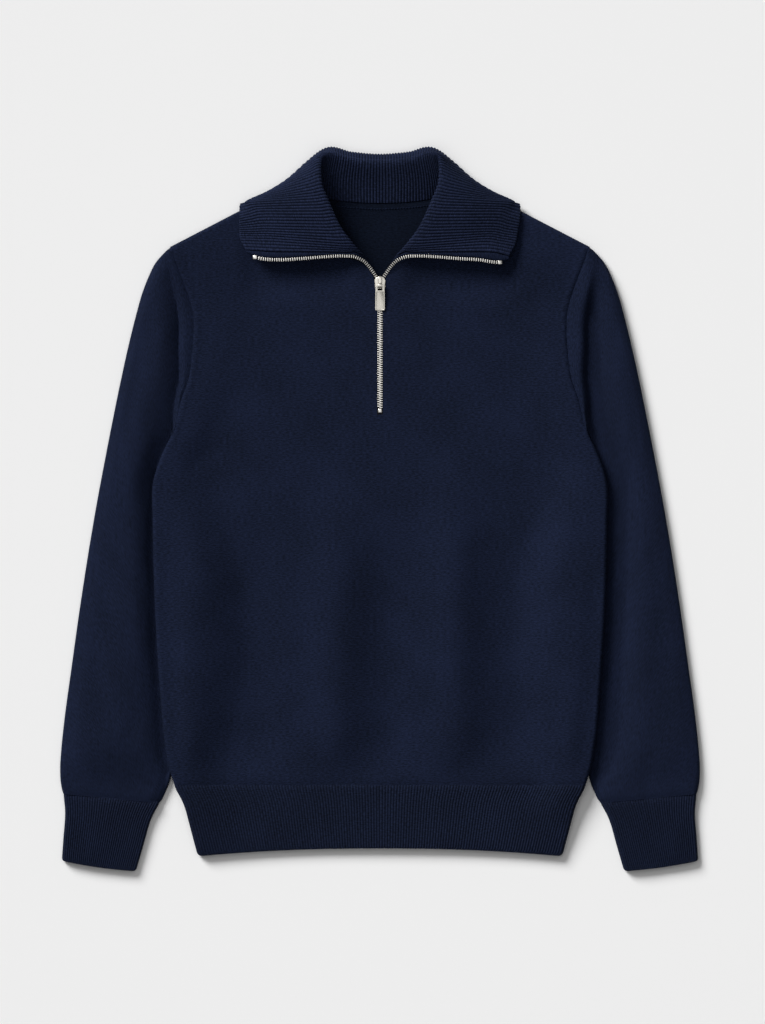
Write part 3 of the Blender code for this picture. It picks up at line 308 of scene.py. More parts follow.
def clothPiece(name, outer, inner, material, ring=False, gaps=(), uv=None, inside=None):
    # a closed wall between two grids of points in mm, joined along every free edge
    rows, columns = outer.shape[:2]
    strips = columns if ring else columns - 1
    if uv is None:
        uv = uvFromGrid(np.concatenate([outer, outer[:, :1]], axis=1) if ring else outer)
    row, column = (at.ravel() for at in np.meshgrid(np.arange(rows - 1), np.arange(strips), indexing="ij"))
    if gaps:
        keep = np.array([(r, c) not in gaps for r, c in zip(row, column)])
        row, column = row[keep], column[keep]
    nextColumn = (column + 1) % columns
    quads = np.stack([row * columns + column, row * columns + nextColumn,
                      (row + 1) * columns + nextColumn, (row + 1) * columns + column], axis=1)
    uvCorners = np.stack([uv[row, column], uv[row, column + 1],
                          uv[row + 1, column + 1], uv[row + 1, column]], axis=1)
    total = rows * columns
    edges = {}  # an edge that only one quad has stays in here
    for face, quad in enumerate(quads):
        for k in range(4):
            a, b = int(quad[k]), int(quad[(k + 1) % 4])
            if edges.pop((b, a), None) is None:
                edges[(a, b)] = (face, k)
    faces = [tuple(int(i) for i in quad) for quad in quads]
    faces += [tuple(int(i) + total for i in quad[::-1]) for quad in quads]
    rim = []
    for (a, b), (face, k) in edges.items():
        faces.append((b, a, a + total, b + total))
        first, second = uvCorners[face, k], uvCorners[face, (k + 1) % 4]
        rim += [second, first, first, second]
    uvLoops = np.concatenate([uvCorners.reshape(-1, 2), uvCorners[:, ::-1].reshape(-1, 2), rim])
    points = np.concatenate([outer.reshape(-1, 3), inner.reshape(-1, 3)])
    used, places = np.unique(np.array(faces), return_inverse=True)
    faces = places.reshape(-1, 4).tolist()
    points = points[used]
    corners = points[np.array(faces)]
    volume = sum(np.einsum("ij,ij->i", corners[:, 0], np.cross(corners[:, k], corners[:, k + 1])).sum()
                 for k in (1, 2))
    if volume < 0:
        faces = [face[::-1] for face in faces]
        uvLoops = uvLoops.reshape(-1, 4, 2)[:, ::-1].reshape(-1, 2)
    piece = newPiece(name, points, faces, material)
    mesh = piece.data
    mesh.uv_layers.new(name="stitches").data.foreach_set("uv", uvLoops.astype(np.float32).ravel())
    mesh.validate()
    if inside:
        mesh.materials.append(inside)
        innerFaces = [int(len(quads) <= k < 2 * len(quads)) for k in range(len(faces))]
        mesh.polygons.foreach_set("material_index", innerFaces)
    smoothShaded(piece, 60)
    return piece


def softWaves(x, height, seed, deep):
    # slow unevenness of cloth that lies by itself
    points = np.stack([np.asarray(x, float), np.asarray(height, float)], axis=-1)
    flat = points.reshape(-1, 2)
    values = [noise.noise(Vector((p[0] / 62, p[1] / 95, seed))) + 0.35 * noise.noise(
        Vector((p[0] / 24, p[1] / 30, seed + 9))) for p in flat]
    return deep * np.array(values).reshape(points.shape[:-1])


body = {
    "cloth": 1.9, "seam": 0.3, "fold": 4.3,
    "edgeHeight": (16.5, 37.7, 54.7, 67.4, 75.9, 84.4, 90.7, 100.3, 109.8, 139.5,
                   192.5, 245.5, 329.2, 372.7, 415.1, 434.2, 450.4, 461.7, 480.8, 498.8,
                   523.2, 547.6, 572, 592.1, 605.9, 623.9, 639.8, 662.1),
    "edgeHalf": (192.9, 198.6, 203.1, 206.6, 209.9, 214.8, 217.5, 220.7, 223.4, 228.3,
                 233.2, 236.8, 240.2, 240.9, 240.1, 234.3, 227.4, 221.5, 215.2, 210.9,
                 202.5, 199.3, 197.6, 198.2, 201.4, 207.8, 214.1, 222.6),
    "hemSeam": 91.3, "hemMiddle": 24.6, "hemCorner": 16.6,
    "underarm": 461.7, "slitEnd": 484.5, "slitTop": 617, "slitHalf": 3.1,
    "shoulderTip": (222.6, 662.1), "neckPoint": (88, 732), "armholeEnd": 620,
    "sideLift": ((16.5, 45, 75, 95, 461.7, 484.5, 523, 572, 620, 662.1),
                 (0, 3, 6.4, 6.9, 6.9, 6.4, 4.6, 2.2, 0.6, 0)),
    "sideLiftIn": (12, 62), "neckLift": 3.6, "neckLiftUp": (600, 660),
    "puff": 2, "puffHeight": 628, "puffReach": 62,  # the chest stands up round the top of the zip
    # the front sinks beneath the lapels: how deep, and where that begins and ends across and upwards
    "dip": 3.8, "dipIn": (22, 44), "dipOut": (128, 154), "dipFrom": (598, 632), "dipTo": (664, 680),
    "foldIn": 0.16, "foldOut": 0.45,  # shares of a fold's run over which it comes and goes
    "edgeFlat": 22,  # the front's forms fade out over this distance at its sides
    "tuckHeight": (72.5, 84.4, 92.9, 101, 120, 160, 230, 310, 340, 370, 390, 410, 432, 450,
                   461.7),
    "tuckDepth": (-25, -12.6, -5.2, -0.6, 7, 22, 37, 38, 30, 20, 14, 9, 1.5, -1.8, -1.2),
}

# soft upright folds of the front, in mm: place across, sideways lean over the run, bottom and top height,
# half width and depth; ridges stand up, troughs sink
frontFolds = [
    (-203, 4, 95, 400, 21, 4.2), (-134, -6, 92, 430, 31, -4.3),
    (-47, 6, 92, 440, 27, 8.2), (11, 3, 92, 400, 25, -4.3),
    (78, -4, 92, 470, 26, 8.6), (143, 6, 92, 460, 31, -4.4),
    (208, -2, 95, 420, 23, 2.8),
]


def bodyHalf(height):
    return smoothThrough(body["edgeHeight"], body["edgeHalf"], height)


def tuckDepth(height):
    return np.interp(height, body["tuckHeight"], body["tuckDepth"])


def bodyLift(x, height):
    # height of the back's underside above the table, over the tucked sleeves and the turned-down collar
    fromEdge = bodyHalf(height) - np.abs(x)
    tucked = np.maximum(tuckDepth(height), 0)
    side = smoothThrough(*body["sideLift"], height) * (1 - fade(fromEdge - tucked, *body["sideLiftIn"]))
    return side + body["neckLift"] * fade(np.asarray(height), *body["neckLiftUp"])


def frontRise(x, height):
    # what the folds, the chest and the dips beneath the lapels add to the front's own level
    x, height = np.asarray(x, float), np.asarray(height, float)
    dip = fade(np.abs(x), *body["dipIn"]) * (1 - fade(np.abs(x), *body["dipOut"]))
    dip = dip * fade(height, *body["dipFrom"]) * (1 - fade(height, *body["dipTo"]))
    puffReach = body["puffReach"]
    rise = body["puff"] * np.exp(-((x / puffReach) ** 2) - ((height - body["puffHeight"]) / puffReach) ** 2)
    for at, lean, bottom, top, half, deep in frontFolds:
        up = (height - bottom) / (top - bottom)
        reach = softStep(up / body["foldIn"]) * softStep((1 - up) / body["foldOut"])
        rise = rise + deep * reach * bump(x - at - lean * (up - 0.5), half)
    edge = softStep((bodyHalf(height) - np.abs(x) - body["fold"]) / body["edgeFlat"])
    return (rise - body["dip"] * dip) * edge


def frontTop(x, height):
    return bodyLift(x, height) + 2 * body["fold"] + frontRise(x, height)


def slitLevel(height):
    # height of the front's upper side along the zip
    return float(frontTop(body["slitHalf"], height))


panelCut = {
    "columns": 44, "rollSteps": 7, "levelRows": 74, "upperRows": 64,  # columns over each half
    "hemRows": (0, 0.8, 1.8, 3.2, 5, 8),  # the first rows above the hem's seam
    "neckSeam": (1.3, 5.3, 0.9),  # seam allowance caught down inside: its height, distance and half width
    "sideRoll": 5,  # the sides begin to roll this far below the underarm
    "armSeam": {"left": 0.9, "right": 0.35, "half": 1.2, "ridge": 0.4, "ridgeAt": 4.5, "ridgeHalf": 2.4},
    "armStitches": (0.22, 1.9, 4, 3),  # height, pitch, distance from the seam and half width
    "hemSeam": (0.5, 2.6, 0.3, 9, 5),  # its depth and half width; its swell's height, place and half width
    "front": {
        "neckHalf": (3.1, 6.3, 9.2, 13.6, 20.5, 30, 43, 58.3, 72.1, 81.6, 86.4, 88),
        "neckHeight": (617, 628.5, 634.2, 640.5, 646, 649.3, 653, 663, 679, 696, 717.2, 732),
        "slit": (528, 572), "onNeck": (0, 12.5, 24, 39, 62, 86, 112),
        "onArmhole": (505, 523.2, 547.6, 560, 572, 585, 597, 609, 620),
    },
    "back": {
        "neckHalf": (3.1, 31.8, 48.8, 65.7, 79.5, 88),
        "neckHeight": (707.7, 709.2, 711.4, 715.1, 722.5, 732),
        "slit": (530, 600, 660), "onNeck": (0, 30, 50, 68),
        "onArmhole": (505, 523.2, 547.6, 572, 585, 597, 620),
    },
    # gentle creases from the underarms and shoulders: x, height, angle, half length, half width, depth
    "creases": [
        (-176, 470, 62, 42, 9, -0.9), (-160, 500, 70, 50, 12, 0.6),
        (-188, 438, 40, 26, 7, -0.7), (178, 474, 118, 44, 9, -0.9),
        (160, 505, 108, 52, 12, 0.6), (190, 440, 138, 26, 7, -0.7),
        (-120, 600, 150, 60, 16, 0.5), (126, 604, 28, 64, 16, 0.5),
        (-60, 150, 84, 60, 14, -0.6), (72, 160, 97, 66, 15, -0.6),
        (-200, 260, 88, 90, 10, 0.5), (198, 300, 92, 90, 10, 0.4),
    ],
}


def creases(x, height, table):
    total = np.zeros(np.shape(x))
    for atX, atHeight, angle, long, wide, deep in table:
        turn = math.radians(angle)
        away = (x - atX, height - atHeight)
        lengthways = away[0] * math.cos(turn) + away[1] * math.sin(turn)
        sideways = -away[0] * math.sin(turn) + away[1] * math.cos(turn)
        total = total + deep * bump(sideways, wide) * bump(lengthways, long)
    return total


def neckLineOf(cut, count):
    places = np.stack([cut["neckHalf"], cut["neckHeight"]], axis=1)
    return smoothThrough(np.linspace(0, 1, len(places)), places, np.linspace(0, 1, count))


def panelEnds(cut):
    # both ends of each row of a half panel: level rows, then a fan from the slit and neck to the armhole
    slitHalf, fold = body["slitHalf"], body["fold"]
    bottom = body["hemSeam"] + body["seam"] / 2
    spread = np.linspace(0, 1, panelCut["levelRows"])
    *first, evenFrom = panelCut["hemRows"]
    level = np.concatenate([bottom + np.array(first),
                            bottom + evenFrom + spread * (body["slitEnd"] - bottom - evenFrom)])
    neckLine = neckLineOf(cut, 90)
    slitLength = neckLine[0][1] - body["slitEnd"]
    inPath = np.concatenate([[(slitHalf, body["slitEnd"])], neckLine])
    armHeights = np.linspace(body["slitEnd"], body["armholeEnd"], 60)
    armLine = np.stack([bodyHalf(armHeights), armHeights], axis=1)
    outPath = np.concatenate([armLine, [body["shoulderTip"]]])
    inAt = [0] + [h - body["slitEnd"] for h in cut["slit"]] + [slitLength + d for d in cut["onNeck"]]
    armTravel = travelOf(armLine)
    outAt = [0] + [float(np.interp(h, armHeights, armTravel)) for h in cut["onArmhole"]]
    inLength, outLength = slitLength + lengthOf(neckLine), lengthOf(outPath)
    inAt.append(inLength - fold)
    outAt.append(outLength - fold)
    steps = np.linspace(0, len(inAt) - 1, panelCut["upperRows"])[1:]
    inDistance = np.interp(steps, np.arange(len(inAt)), inAt)
    outDistance = np.interp(steps, np.arange(len(outAt)), outAt)
    turns = np.linspace(quarterTurn, 0, panelCut["rollSteps"])[1:]
    inDistance = np.concatenate([inDistance, inLength - fold * (1 - np.cos(turns))])
    outDistance = np.concatenate([outDistance, outLength - fold * (1 - np.cos(turns))])
    inner = np.concatenate([np.stack([np.full(len(level), slitHalf), level], axis=1),
                            along(inPath, inDistance / lengthOf(inPath))])
    outer = np.concatenate([np.stack([bodyHalf(level), level], axis=1),
                            along(outPath, outDistance / outLength)])
    roll = np.full(len(inner), quarterTurn)
    roll[-len(turns):] = turns
    openFrom = len(level) - 1
    if cut is panelCut["back"]:
        openFrom = int(np.argmax(inner[:, 1] >= cut["neckHeight"][0] - 0.5))
    return inner, outer, roll, openFrom


def panel(name, facing, cut, material):
    innerEnds, outerEnds, shoulderAngle, openFrom = panelEnds(cut)
    fold = body["fold"]
    heights = outerEnds[:, 1]
    start = quarterTurn * fade(heights - body["underarm"], -panelCut["sideRoll"], 0)
    arc = np.linspace(0, quarterTurn, panelCut["rollSteps"])
    foldAngle = np.minimum(start[:, None] + arc, quarterTurn)
    inward = fold * (np.cos(start)[:, None] - np.cos(foldAngle))
    inward += fold * (arc - (quarterTurn - start[:, None])).clip(0)
    span = np.linalg.norm(outerEnds - innerEnds, axis=1)
    even = np.linspace(0, 1, panelCut["columns"] + 1)[:-1]
    shares = np.concatenate([even[None, :] * (1 - inward[:, -1:] / span[:, None]),
                             1 - inward[:, ::-1] / span[:, None]], axis=1)
    angles = np.full(shares.shape, quarterTurn)
    angles[:, -panelCut["rollSteps"]:] = foldAngle[:, ::-1]
    slope = np.array(body["shoulderTip"]) - np.array(body["neckPoint"])
    shoulderOut = unit(np.array([-slope[1], slope[0]]))
    turn = np.minimum(angles, shoulderAngle[:, None])
    flat = np.sin(turn) ** 4
    neckLine = neckLineOf(cut, 60)
    arm, walls = panelCut["armSeam"], []
    for offset in (0, body["cloth"]):
        plan = innerEnds[:, None, :] + shares[..., None] * (outerEnds - innerEnds)[:, None, :]
        lift = bodyLift(plan[..., 0], plan[..., 1])
        fromNeck = np.linalg.norm(plan[:, :, None, :] - neckLine, axis=-1).min(axis=-1)
        fromArm = (1 - shares) * span[:, None]
        nearArm = softStep((plan[..., 1] - body["underarm"]) / 14)
        fromHem = plan[..., 1] - body["hemSeam"]
        # the armhole seam sinks between two low ridges, and the cloth rounds over the hem's seam
        sunk = np.where(plan[..., 0] > 0, arm["left"], arm["right"])
        ridge = arm["ridge"] * bump(fromArm - arm["ridgeAt"], arm["ridgeHalf"])
        sewn = nearArm * (ridge - sunk * bump(fromArm, arm["half"]))
        high, pitch, away, half = panelCut["armStitches"]
        sewn = sewn + nearArm * high * np.sin(plan[..., 1] / pitch) * bump(fromArm - away, half)
        deep, half, high, away, swellHalf = panelCut["hemSeam"]
        sewn = sewn - deep * bump(fromHem, half) + high * bump(fromHem - away, swellHalf)
        middle = lift + fold + facing * 0.5 * body["seam"] * np.cos(turn)
        up = middle + facing * (fold - offset) * np.sin(turn)
        plan = plan - offset * np.cos(angles)[..., None] * np.array([1, 0])
        plan = plan - offset * np.cos(shoulderAngle)[:, None, None] * shoulderOut
        halves = []
        for side in (-1, 1):
            rise = np.zeros_like(up)
            if facing > 0:
                x = side * plan[..., 0]
                rise = frontRise(x, plan[..., 1]) + creases(x, plan[..., 1], panelCut["creases"])
                rise = (rise + softWaves(x, plan[..., 1], 3, 0.45) + sewn) * flat
            elif offset:
                high, away, half = panelCut["neckSeam"]
                rise = high * bump(fromNeck - away, half)
            halves.append(np.stack([side * plan[..., 0], plan[..., 1], up + rise], axis=-1))
        middleColumn = 0.5 * (halves[0][:, :1] + halves[1][:, :1])
        middleColumn[..., 0] = 0
        walls.append(np.concatenate([halves[0][:, ::-1], middleColumn, halves[1]], axis=1))
    half = shares.shape[1] - 1
    gaps = {(row, half + side) for row in range(openFrom, len(heights) - 1) for side in (0, 1)}
    planUv = np.stack([walls[0][..., 0], walls[0][..., 1] - middleHeight], axis=-1) * mm
    # the inner faces take the darker inside material, its colour painted shade
    return clothPiece(name, walls[0], walls[1], material, gaps=gaps, uv=planUv, inside=jerseyInsidePaintedShade)


frontCloth = standsFor(panel("frontCloth", 1, panelCut["front"], jersey), "front_panel")
backCloth = standsFor(panel("backCloth", -1, panelCut["back"], jersey), "back_panel")
print("front and back done")


sleeveCut = {
    "edgeHeight": (81.7, 92.9, 109.8, 126.8, 156.5, 215.8, 275.2, 334.5, 393.9, 438.4,
                   482.9, 527.5, 557.1, 586.8, 616.5, 631.3, 646.2, 656.8, 662.1),
    "edgeHalf": (335.9, 338.2, 339.1, 338.1, 335.1, 327.1, 318.8, 309.7, 299.6, 291.2,
                 282.5, 273.3, 266.7, 259.4, 250.9, 245, 237.3, 227.8, 222.6),
    "seamInner": (234.2, 72.5), "seamOuter": (335.3, 81.9),
    "seamUnder": 1.2,  # the sleeve's edge lies this far under the body's at the armhole
    "tuckedAbove": 400, "leastTuck": 10.6, "lessAtSeam": (7, 14),  # how deep it is tucked near the armpit
    "fan": 1.8, "bowFade": 0.06, "tuckFold": 3.1,
    # rows round the pleat: they crowd in these stages between the seam, the pleat's two sides and past it
    "stages": (0, 0.06, 0.14, 0.25, 0.4, 0.6, 0.8, 1, 1.2, 1.4, 1.6, 1.8, 2, 2.2, 2.4, 2.6, 2.8, 3),
    "pleatSides": (-3, 2.5, 18), "lastRows": (0.99, 0.994, 0.997, 0.9985, 1),
    "pleatAlong": (0, 0.15, 0.3, 0.5, 0.7, 0.85, 1),
    "pleatOut": (4, 6, 11, 16, 17, 14, 9),
    "pleatHeight": (430, 461.7, 484, 500, 520, 560, 600, 640, 662),
    "pleatClear": (0, 0.5, 1.5, 4.5, 9.4, 15.5, 16, 10, 6),
    "pleatShare": (1, 1, 1, 1, 0.6, 0.15, 0),
    "pleatDrop": 0.72, "settle": 75, "pleatEdge": -3,
    "rollSteps": 7, "between": 30, "rows": 96,
    # where its forms fade in, in mm from the seam, the edges, the cuff, the body or the underarm
    "sewnOn": 6, "tuckNarrows": 34, "emerges": 14, "underside": (12, 16), "pillowUp": 60,
    "outerEdge": 16, "innerEdge": 12, "livelyFrom": (20, 60), "livelyClear": 12,
    "hollowClear": (-4, -1), "hollowUp": (6, 56), "upArm": (-20, 10), "stripUp": (4, 54),
    "stripFrom": 14,
    # beneath the body's edge the sleeve stays under this height, and leaves it over this distance
    "room": (6.3, 14, 12, 10), "roomTo": (-30, -4), "leastGap": 0.9,
    # creases: x and height on the laid sleeve, angle, half length, width, depth
    "creases": [
        (262, 500, 104, 60, 9, -0.7), (275, 400, 100, 80, 13, 0.8),
        (292, 330, 95, 70, 10, -0.6), (270, 250, 92, 70, 12, 0.5),
        (300, 200, 84, 60, 10, -0.6), (262, 150, 112, 40, 8, -0.6),
        (312, 130, 80, 40, 8, 0.5), (284, 112, 92, 28, 7, -0.5),
        (250, 590, 112, 34, 8, 0.5),
    ],
}


def sleevePlan():
    # the laid sleeve as a patch: u runs up the armhole, v down to the cuff
    heights = np.concatenate([[body["underarm"]], np.linspace(body["slitEnd"], body["armholeEnd"], 40),
                              [body["shoulderTip"][1]]])
    armhole = np.stack([bodyHalf(heights) - sleeveCut["seamUnder"], heights], axis=1)
    cuffSeam = np.array([sleeveCut["seamInner"], sleeveCut["seamOuter"]]) + (0, body["seam"] / 2)
    innerHeights = np.linspace(body["underarm"], cuffSeam[0, 1], 120)
    tucked = smoothThrough(body["tuckHeight"], body["tuckDepth"], innerHeights)
    less, over = sleeveCut["lessAtSeam"]
    nearSeam = 1 - softStep((body["underarm"] - innerHeights) / over)
    least = np.maximum(tucked, sleeveCut["leastTuck"] - less * nearSeam)
    tucked = np.where(innerHeights > sleeveCut["tuckedAbove"], least, tucked)
    inner = np.stack([bodyHalf(innerHeights) - tucked, innerHeights], axis=1)
    inner[0], inner[-1] = armhole[0], cuffSeam[0]
    outerHeights = np.linspace(body["shoulderTip"][1], cuffSeam[1, 1], 160)
    outerHalf = smoothThrough(sleeveCut["edgeHeight"], sleeveCut["edgeHalf"], outerHeights)
    outer = np.stack([outerHalf, outerHeights], axis=1)
    outer[0], outer[-1] = armhole[-1], cuffSeam[1]
    innerLength, outerLength = lengthOf(inner), lengthOf(outer)

    def plan(u, v):
        u, v = np.broadcast_arrays(u, v)
        fade = np.exp(-v / sleeveCut["bowFade"])[..., None]
        level = u[..., None]
        bow = along(armhole, u) - (1 - level) * armhole[0] - level * armhole[-1]
        return (1 - level) * along(inner, v ** sleeveCut["fan"]) + level * along(outer, v) + fade * bow

    def down(u, v):
        return (1 - u) * innerLength * v ** sleeveCut["fan"] + u * outerLength * v

    return plan, armhole, down


def sleeve(name, side, material, seed, shape):
    plan, armhole, down = sleevePlan()
    cut, fold, tuckFold = sleeveCut, body["fold"], sleeveCut["tuckFold"]
    widest = lengthOf(armhole)
    turns = 1 - np.cos(np.linspace(0, quarterTurn, cut["rollSteps"]))
    between = np.arange(1, cut["between"] + 1) / (cut["between"] + 1)
    first, last = fold / widest, 1 - fold / widest
    u = np.concatenate([turns * fold / widest, first + between * (last - first),
                        1 - turns[::-1] * fold / widest])
    # rows: close together from the seam over the pleat, then even steps to the cuff
    pleatOut = np.interp(u, cut["pleatAlong"], cut["pleatOut"])
    fine = np.linspace(0, 1, 4001)
    near = np.zeros((len(cut["stages"]), len(u)))
    for column, at in enumerate(u):
        marks = [0] + [pleatOut[column] + past for past in cut["pleatSides"]]
        near[:, column] = np.interp(np.interp(cut["stages"], np.arange(4), marks), down(at, fine), fine)
    shares = np.concatenate([np.linspace(0, 0.985, cut["rows"])[1:], cut["lastRows"]])
    v = np.concatenate([near, near[-1] + shares[:, None] * (1 - near[-1])])
    ones = np.ones(len(v))
    innerEdge = plan(0 * ones, v[:, 0])
    width = np.linalg.norm(plan(ones, v[:, -1]) - innerEdge, axis=1)
    width[0] = widest
    radius = tuckFold + (fold - tuckFold) * (1 - softStep(down(0, v[:, 0]) / cut["tuckNarrows"]))
    tucked = np.maximum(tuckDepth(innerEdge[:, 1]), 0)
    marks = turns * radius[:, None] / width[:, None]
    farMarks = 1 - turns[::-1] * fold / width[:, None]
    rest = marks[:, -1:] + (farMarks[:, :1] - marks[:, -1:]) * between
    blend = softStep(v.mean(axis=1) * 9)[:, None]
    uGrid = u * (1 - blend) + np.concatenate([marks, rest, farMarks], axis=1) * blend
    fromInner, fromOuter = uGrid * width[:, None], (1 - uGrid) * width[:, None]
    place, run = plan(uGrid, v), down(uGrid, v)
    x, height = place[..., 0], place[..., 1]
    clear, overArm = x - bodyHalf(height), height - body["underarm"]
    # levels: the body's at the armhole, down a pleat to the table further out
    atSeam = plan(uGrid, 0 * uGrid)
    seamLift = bodyLift(atSeam[..., 0], atSeam[..., 1])
    atInner, wider = cut["underside"]
    bottom = seamLift * (1 - softStep(run / (atInner + wider * uGrid)))
    level = 2 * tuckFold + softStep((fromInner - tucked[:, None]) / cut["emerges"]) * 2 * (fold - tuckFold)
    fromPleat = clear - shape["pleat"] - np.interp(height, cut["pleatHeight"], cut["pleatClear"])
    sewnOn = softStep(run / cut["sewnOn"])  # it starts level with the body's front edge
    pastPleat = softStep((fromPleat - cut["pleatEdge"]) / shape["step"])
    share = cut["pleatDrop"] * np.interp(uGrid, cut["pleatAlong"], cut["pleatShare"])
    slow = softStep(run / cut["settle"])
    drop = np.maximum(share * pastPleat * sewnOn + (1 - share) * slow, slow)
    top = (seamLift + 2 * fold) * (1 - drop) + level * drop
    # it swells towards its crown
    fromCuff = np.maximum(height - np.interp(x, *zip(cut["seamInner"], cut["seamOuter"])), 0)
    edge = softStep(fromOuter / cut["outerEdge"]) * softStep(fromInner / cut["innerEdge"])
    across = fromInner / (fromInner + fromOuter)
    out = np.clip((fromPleat - shape["floor"]) / shape["reach"], 0, 1)
    swell = (1 - (1 - out) ** 2) * softStep(fromCuff / cut["pillowUp"]) * shape["pillow"]
    top = top + edge * swell * bump(across - shape["crown"], shape["half"])
    # a raised strip from the armhole to the pleat, and a hollow past it: a steep side, a slow rise outwards
    onStrip = fade(overArm, *cut["upArm"]) * (1 - pastPleat)
    raised = onStrip * softStep(run / cut["stripFrom"]) * softStep((0.97 - uGrid) / 0.2)
    top = top + shape["strip"] * raised * fade(overArm, *cut["stripUp"])
    hollow = (1 - out) ** 2 * fade(clear, *cut["hollowClear"]) * (1 - onStrip) * sewnOn
    top = top - shape["hollow"] * hollow * softStep((0.93 - uGrid) / 0.35) * fade(fromCuff, *cut["hollowUp"])
    lively = edge * fade(run, *cut["livelyFrom"]) * softStep(clear / cut["livelyClear"])
    top = top + lively * (creases(x, height, cut["creases"]) + softWaves(x * side, height, seed, 0.5))
    # the armhole seam sinks, and the sleeve rounds over the cuff's seam
    top = top - shape["seam"] * softStep((uGrid - 0.02) / 0.12) * bump(run, 1.7) + 0.25 * bump(run - 5, 2.4)
    top = top - edge * (0.5 * bump(fromCuff, 2.6) - 0.4 * bump(fromCuff - 8, 5))
    top = np.maximum(top, bottom + 2 * body["cloth"] + cut["leastGap"])
    least, more, over, shorter = cut["room"]
    room = least + more * softStep(clear / (over - shorter * fade(overArm, *cut["roomTo"])))
    top = np.where(overArm < -2, np.minimum(top, room), top)

    leftAngle = np.arccos(np.clip(1 - fromInner / radius[:, None], 0, 1))
    rightAngle = np.arccos(np.clip(1 - fromOuter / fold, 0, 1))
    angle = np.minimum(leftAngle, rightAngle)
    flat = angle > 0.998 * quarterTurn
    nearInner = leftAngle < rightAngle
    edgeRadius = np.where(nearInner, radius[:, None], fold)
    tangent = (place[:, -1] - place[:, 0]) / width[:, None]
    walls = []
    for offset in (0, body["cloth"]):
        curl = (edgeRadius - offset) * np.sin(angle)
        upper = np.where(flat, top - offset, bottom + edgeRadius + curl)
        lower = np.where(flat, bottom + offset, bottom + edgeRadius - curl)
        shift = offset * np.cos(angle) * np.where(nearInner, 1, -1)
        spot = place + shift[..., None] * tangent[:, None, :]
        front, back = (np.stack([side * spot[..., 0], spot[..., 1], up], axis=-1) for up in (upper, lower))
        walls.append(np.concatenate([front, back[:, -2:0:-1]], axis=1))
    return clothPiece(name, walls[0], walls[1], material, ring=True)


# how each sleeve swells: its crown's height, and its place and half width as shares of the sleeve's width;
# where its pleat lies, how wide its fall is and how high the strip beside it; where its hollow's floor ends,
# how deep that is and how far it reaches; and how deep the armhole's seam sinks
leftSwell = {"pillow": 4.5, "crown": 0.62, "half": 0.4, "pleat": 1.5, "step": 13, "strip": 5.4,
             "floor": 14, "hollow": 8.4, "reach": 36, "seam": 1.1}
rightSwell = {"pillow": 8.5, "crown": 0.55, "half": 0.42, "pleat": 0, "step": 3.5, "strip": 1.5,
              "floor": -1, "hollow": 4, "reach": 26, "seam": 1.6}
sleeveLeft = standsFor(sleeve("sleeveClothLeft", 1, jersey, 17, leftSwell), "sleeve_left")
sleeveRight = standsFor(sleeve("sleeveClothRight", -1, jersey, 31, rightSwell), "sleeve_right")
print("sleeves done")


ribCut = {
    "hemRibs": 136, "cuffRibs": 34, "samples": 8, "foldRibs": 4,
    "ridge": 0.75, "base": 1.3, "under": 1.6, "corner": 4, "power": 0.75,
    "hemShares": (0, 0.012, 0.03, 0.06, *np.linspace(0.1, 0.94, 10), 0.96, 0.975, 0.988, 0.996, 1),
    "cuffShares": (0, 0.015, 0.04, 0.08, *np.linspace(0.13, 0.94, 11), 0.96, 0.98, 0.992, 1),
    "cuff": {"inner": ((234.2, 72.5), (243.3, 54.7), (251.2, 27.4), (259.1, 0.1)),
             "outer": ((335.3, 81.9), (333.5, 62), (335.3, 36.5), (337.1, 11)),
             "stage": (0, 0.3, 0.62, 1)},
}


def ribProfile(phase):
    # a round ridge and a narrow groove between two
    return (0.5 - 0.5 * np.cos(2 * math.pi * phase)) ** ribCut["power"]


def ribUv(phase, spine, shape):
    # the stitches' map: ribs across, distance down the middle
    across = np.broadcast_to(phase * collarRibLitLook["wale"] * mm, shape)
    return np.stack([across, np.broadcast_to((travelOf(spine) * mm)[:, None], shape)], axis=-1)


def ribTube(name, rows, ribs, material, side=1):
    # a laid tube with ribs all round; each row gives its ends, fold radius, lift, bow and rise
    samples, foldRibs, ridgeUp = ribCut["samples"], ribCut["foldRibs"], ribCut["ridge"]
    walls = [], []
    flat = np.linspace(0, 1, ribs * samples + 1)
    bend = np.linspace(0, 1, foldRibs * samples + 1)[1:-1]
    phase = np.concatenate([flat * ribs, ribs + bend * foldRibs, ribs + foldRibs + flat * ribs,
                            2 * ribs + foldRibs + bend * foldRibs])
    level = np.full(len(flat), 0.5)
    angle = np.concatenate([level, 0.5 - bend, -level, -0.5 - bend]) * math.pi
    profile = ribProfile(phase)
    for row in rows:
        start, end = np.array(row["start"]), np.array(row["end"])
        width = np.linalg.norm(end - start)
        tangent = (end - start) / width
        radius = row["radius"]
        centre = np.concatenate([radius + flat * (width - 2 * radius), np.full(len(bend), width - radius),
                                 width - radius - flat * (width - 2 * radius), np.full(len(bend), radius)])
        ridge = profile * ridgeUp * row["ridge"]
        reach = radius - ridgeUp * 0.5 * (1 - np.sin(angle)) + ridge
        for wall, length in zip(walls, (reach, radius - ribCut["base"])):
            out = np.cos(angle) * length
            distance = centre + out
            spot = start + tangent * distance[:, None]
            bow = row["bow"](distance / width)
            spot = spot + np.stack([0 * bow, bow], axis=1)
            up = row["lift"](spot[:, 0]) + radius + np.sin(angle) * length
            onTop = angle > 0.98 * quarterTurn
            up = up + np.where(onTop, row["rise"](spot[:, 0], distance / width), 0)
            wall.append(np.stack([side * spot[:, 0], spot[:, 1], np.maximum(up, 0)], axis=1))
    outer, inner = np.array(walls[0]), np.array(walls[1])
    closing = np.append(phase, phase[-1] + 1 / samples)
    uv = ribUv(closing, outer[:, len(flat) // 2], (len(rows), len(closing)))
    return clothPiece(name, outer, inner, material, ring=True, uv=uv)


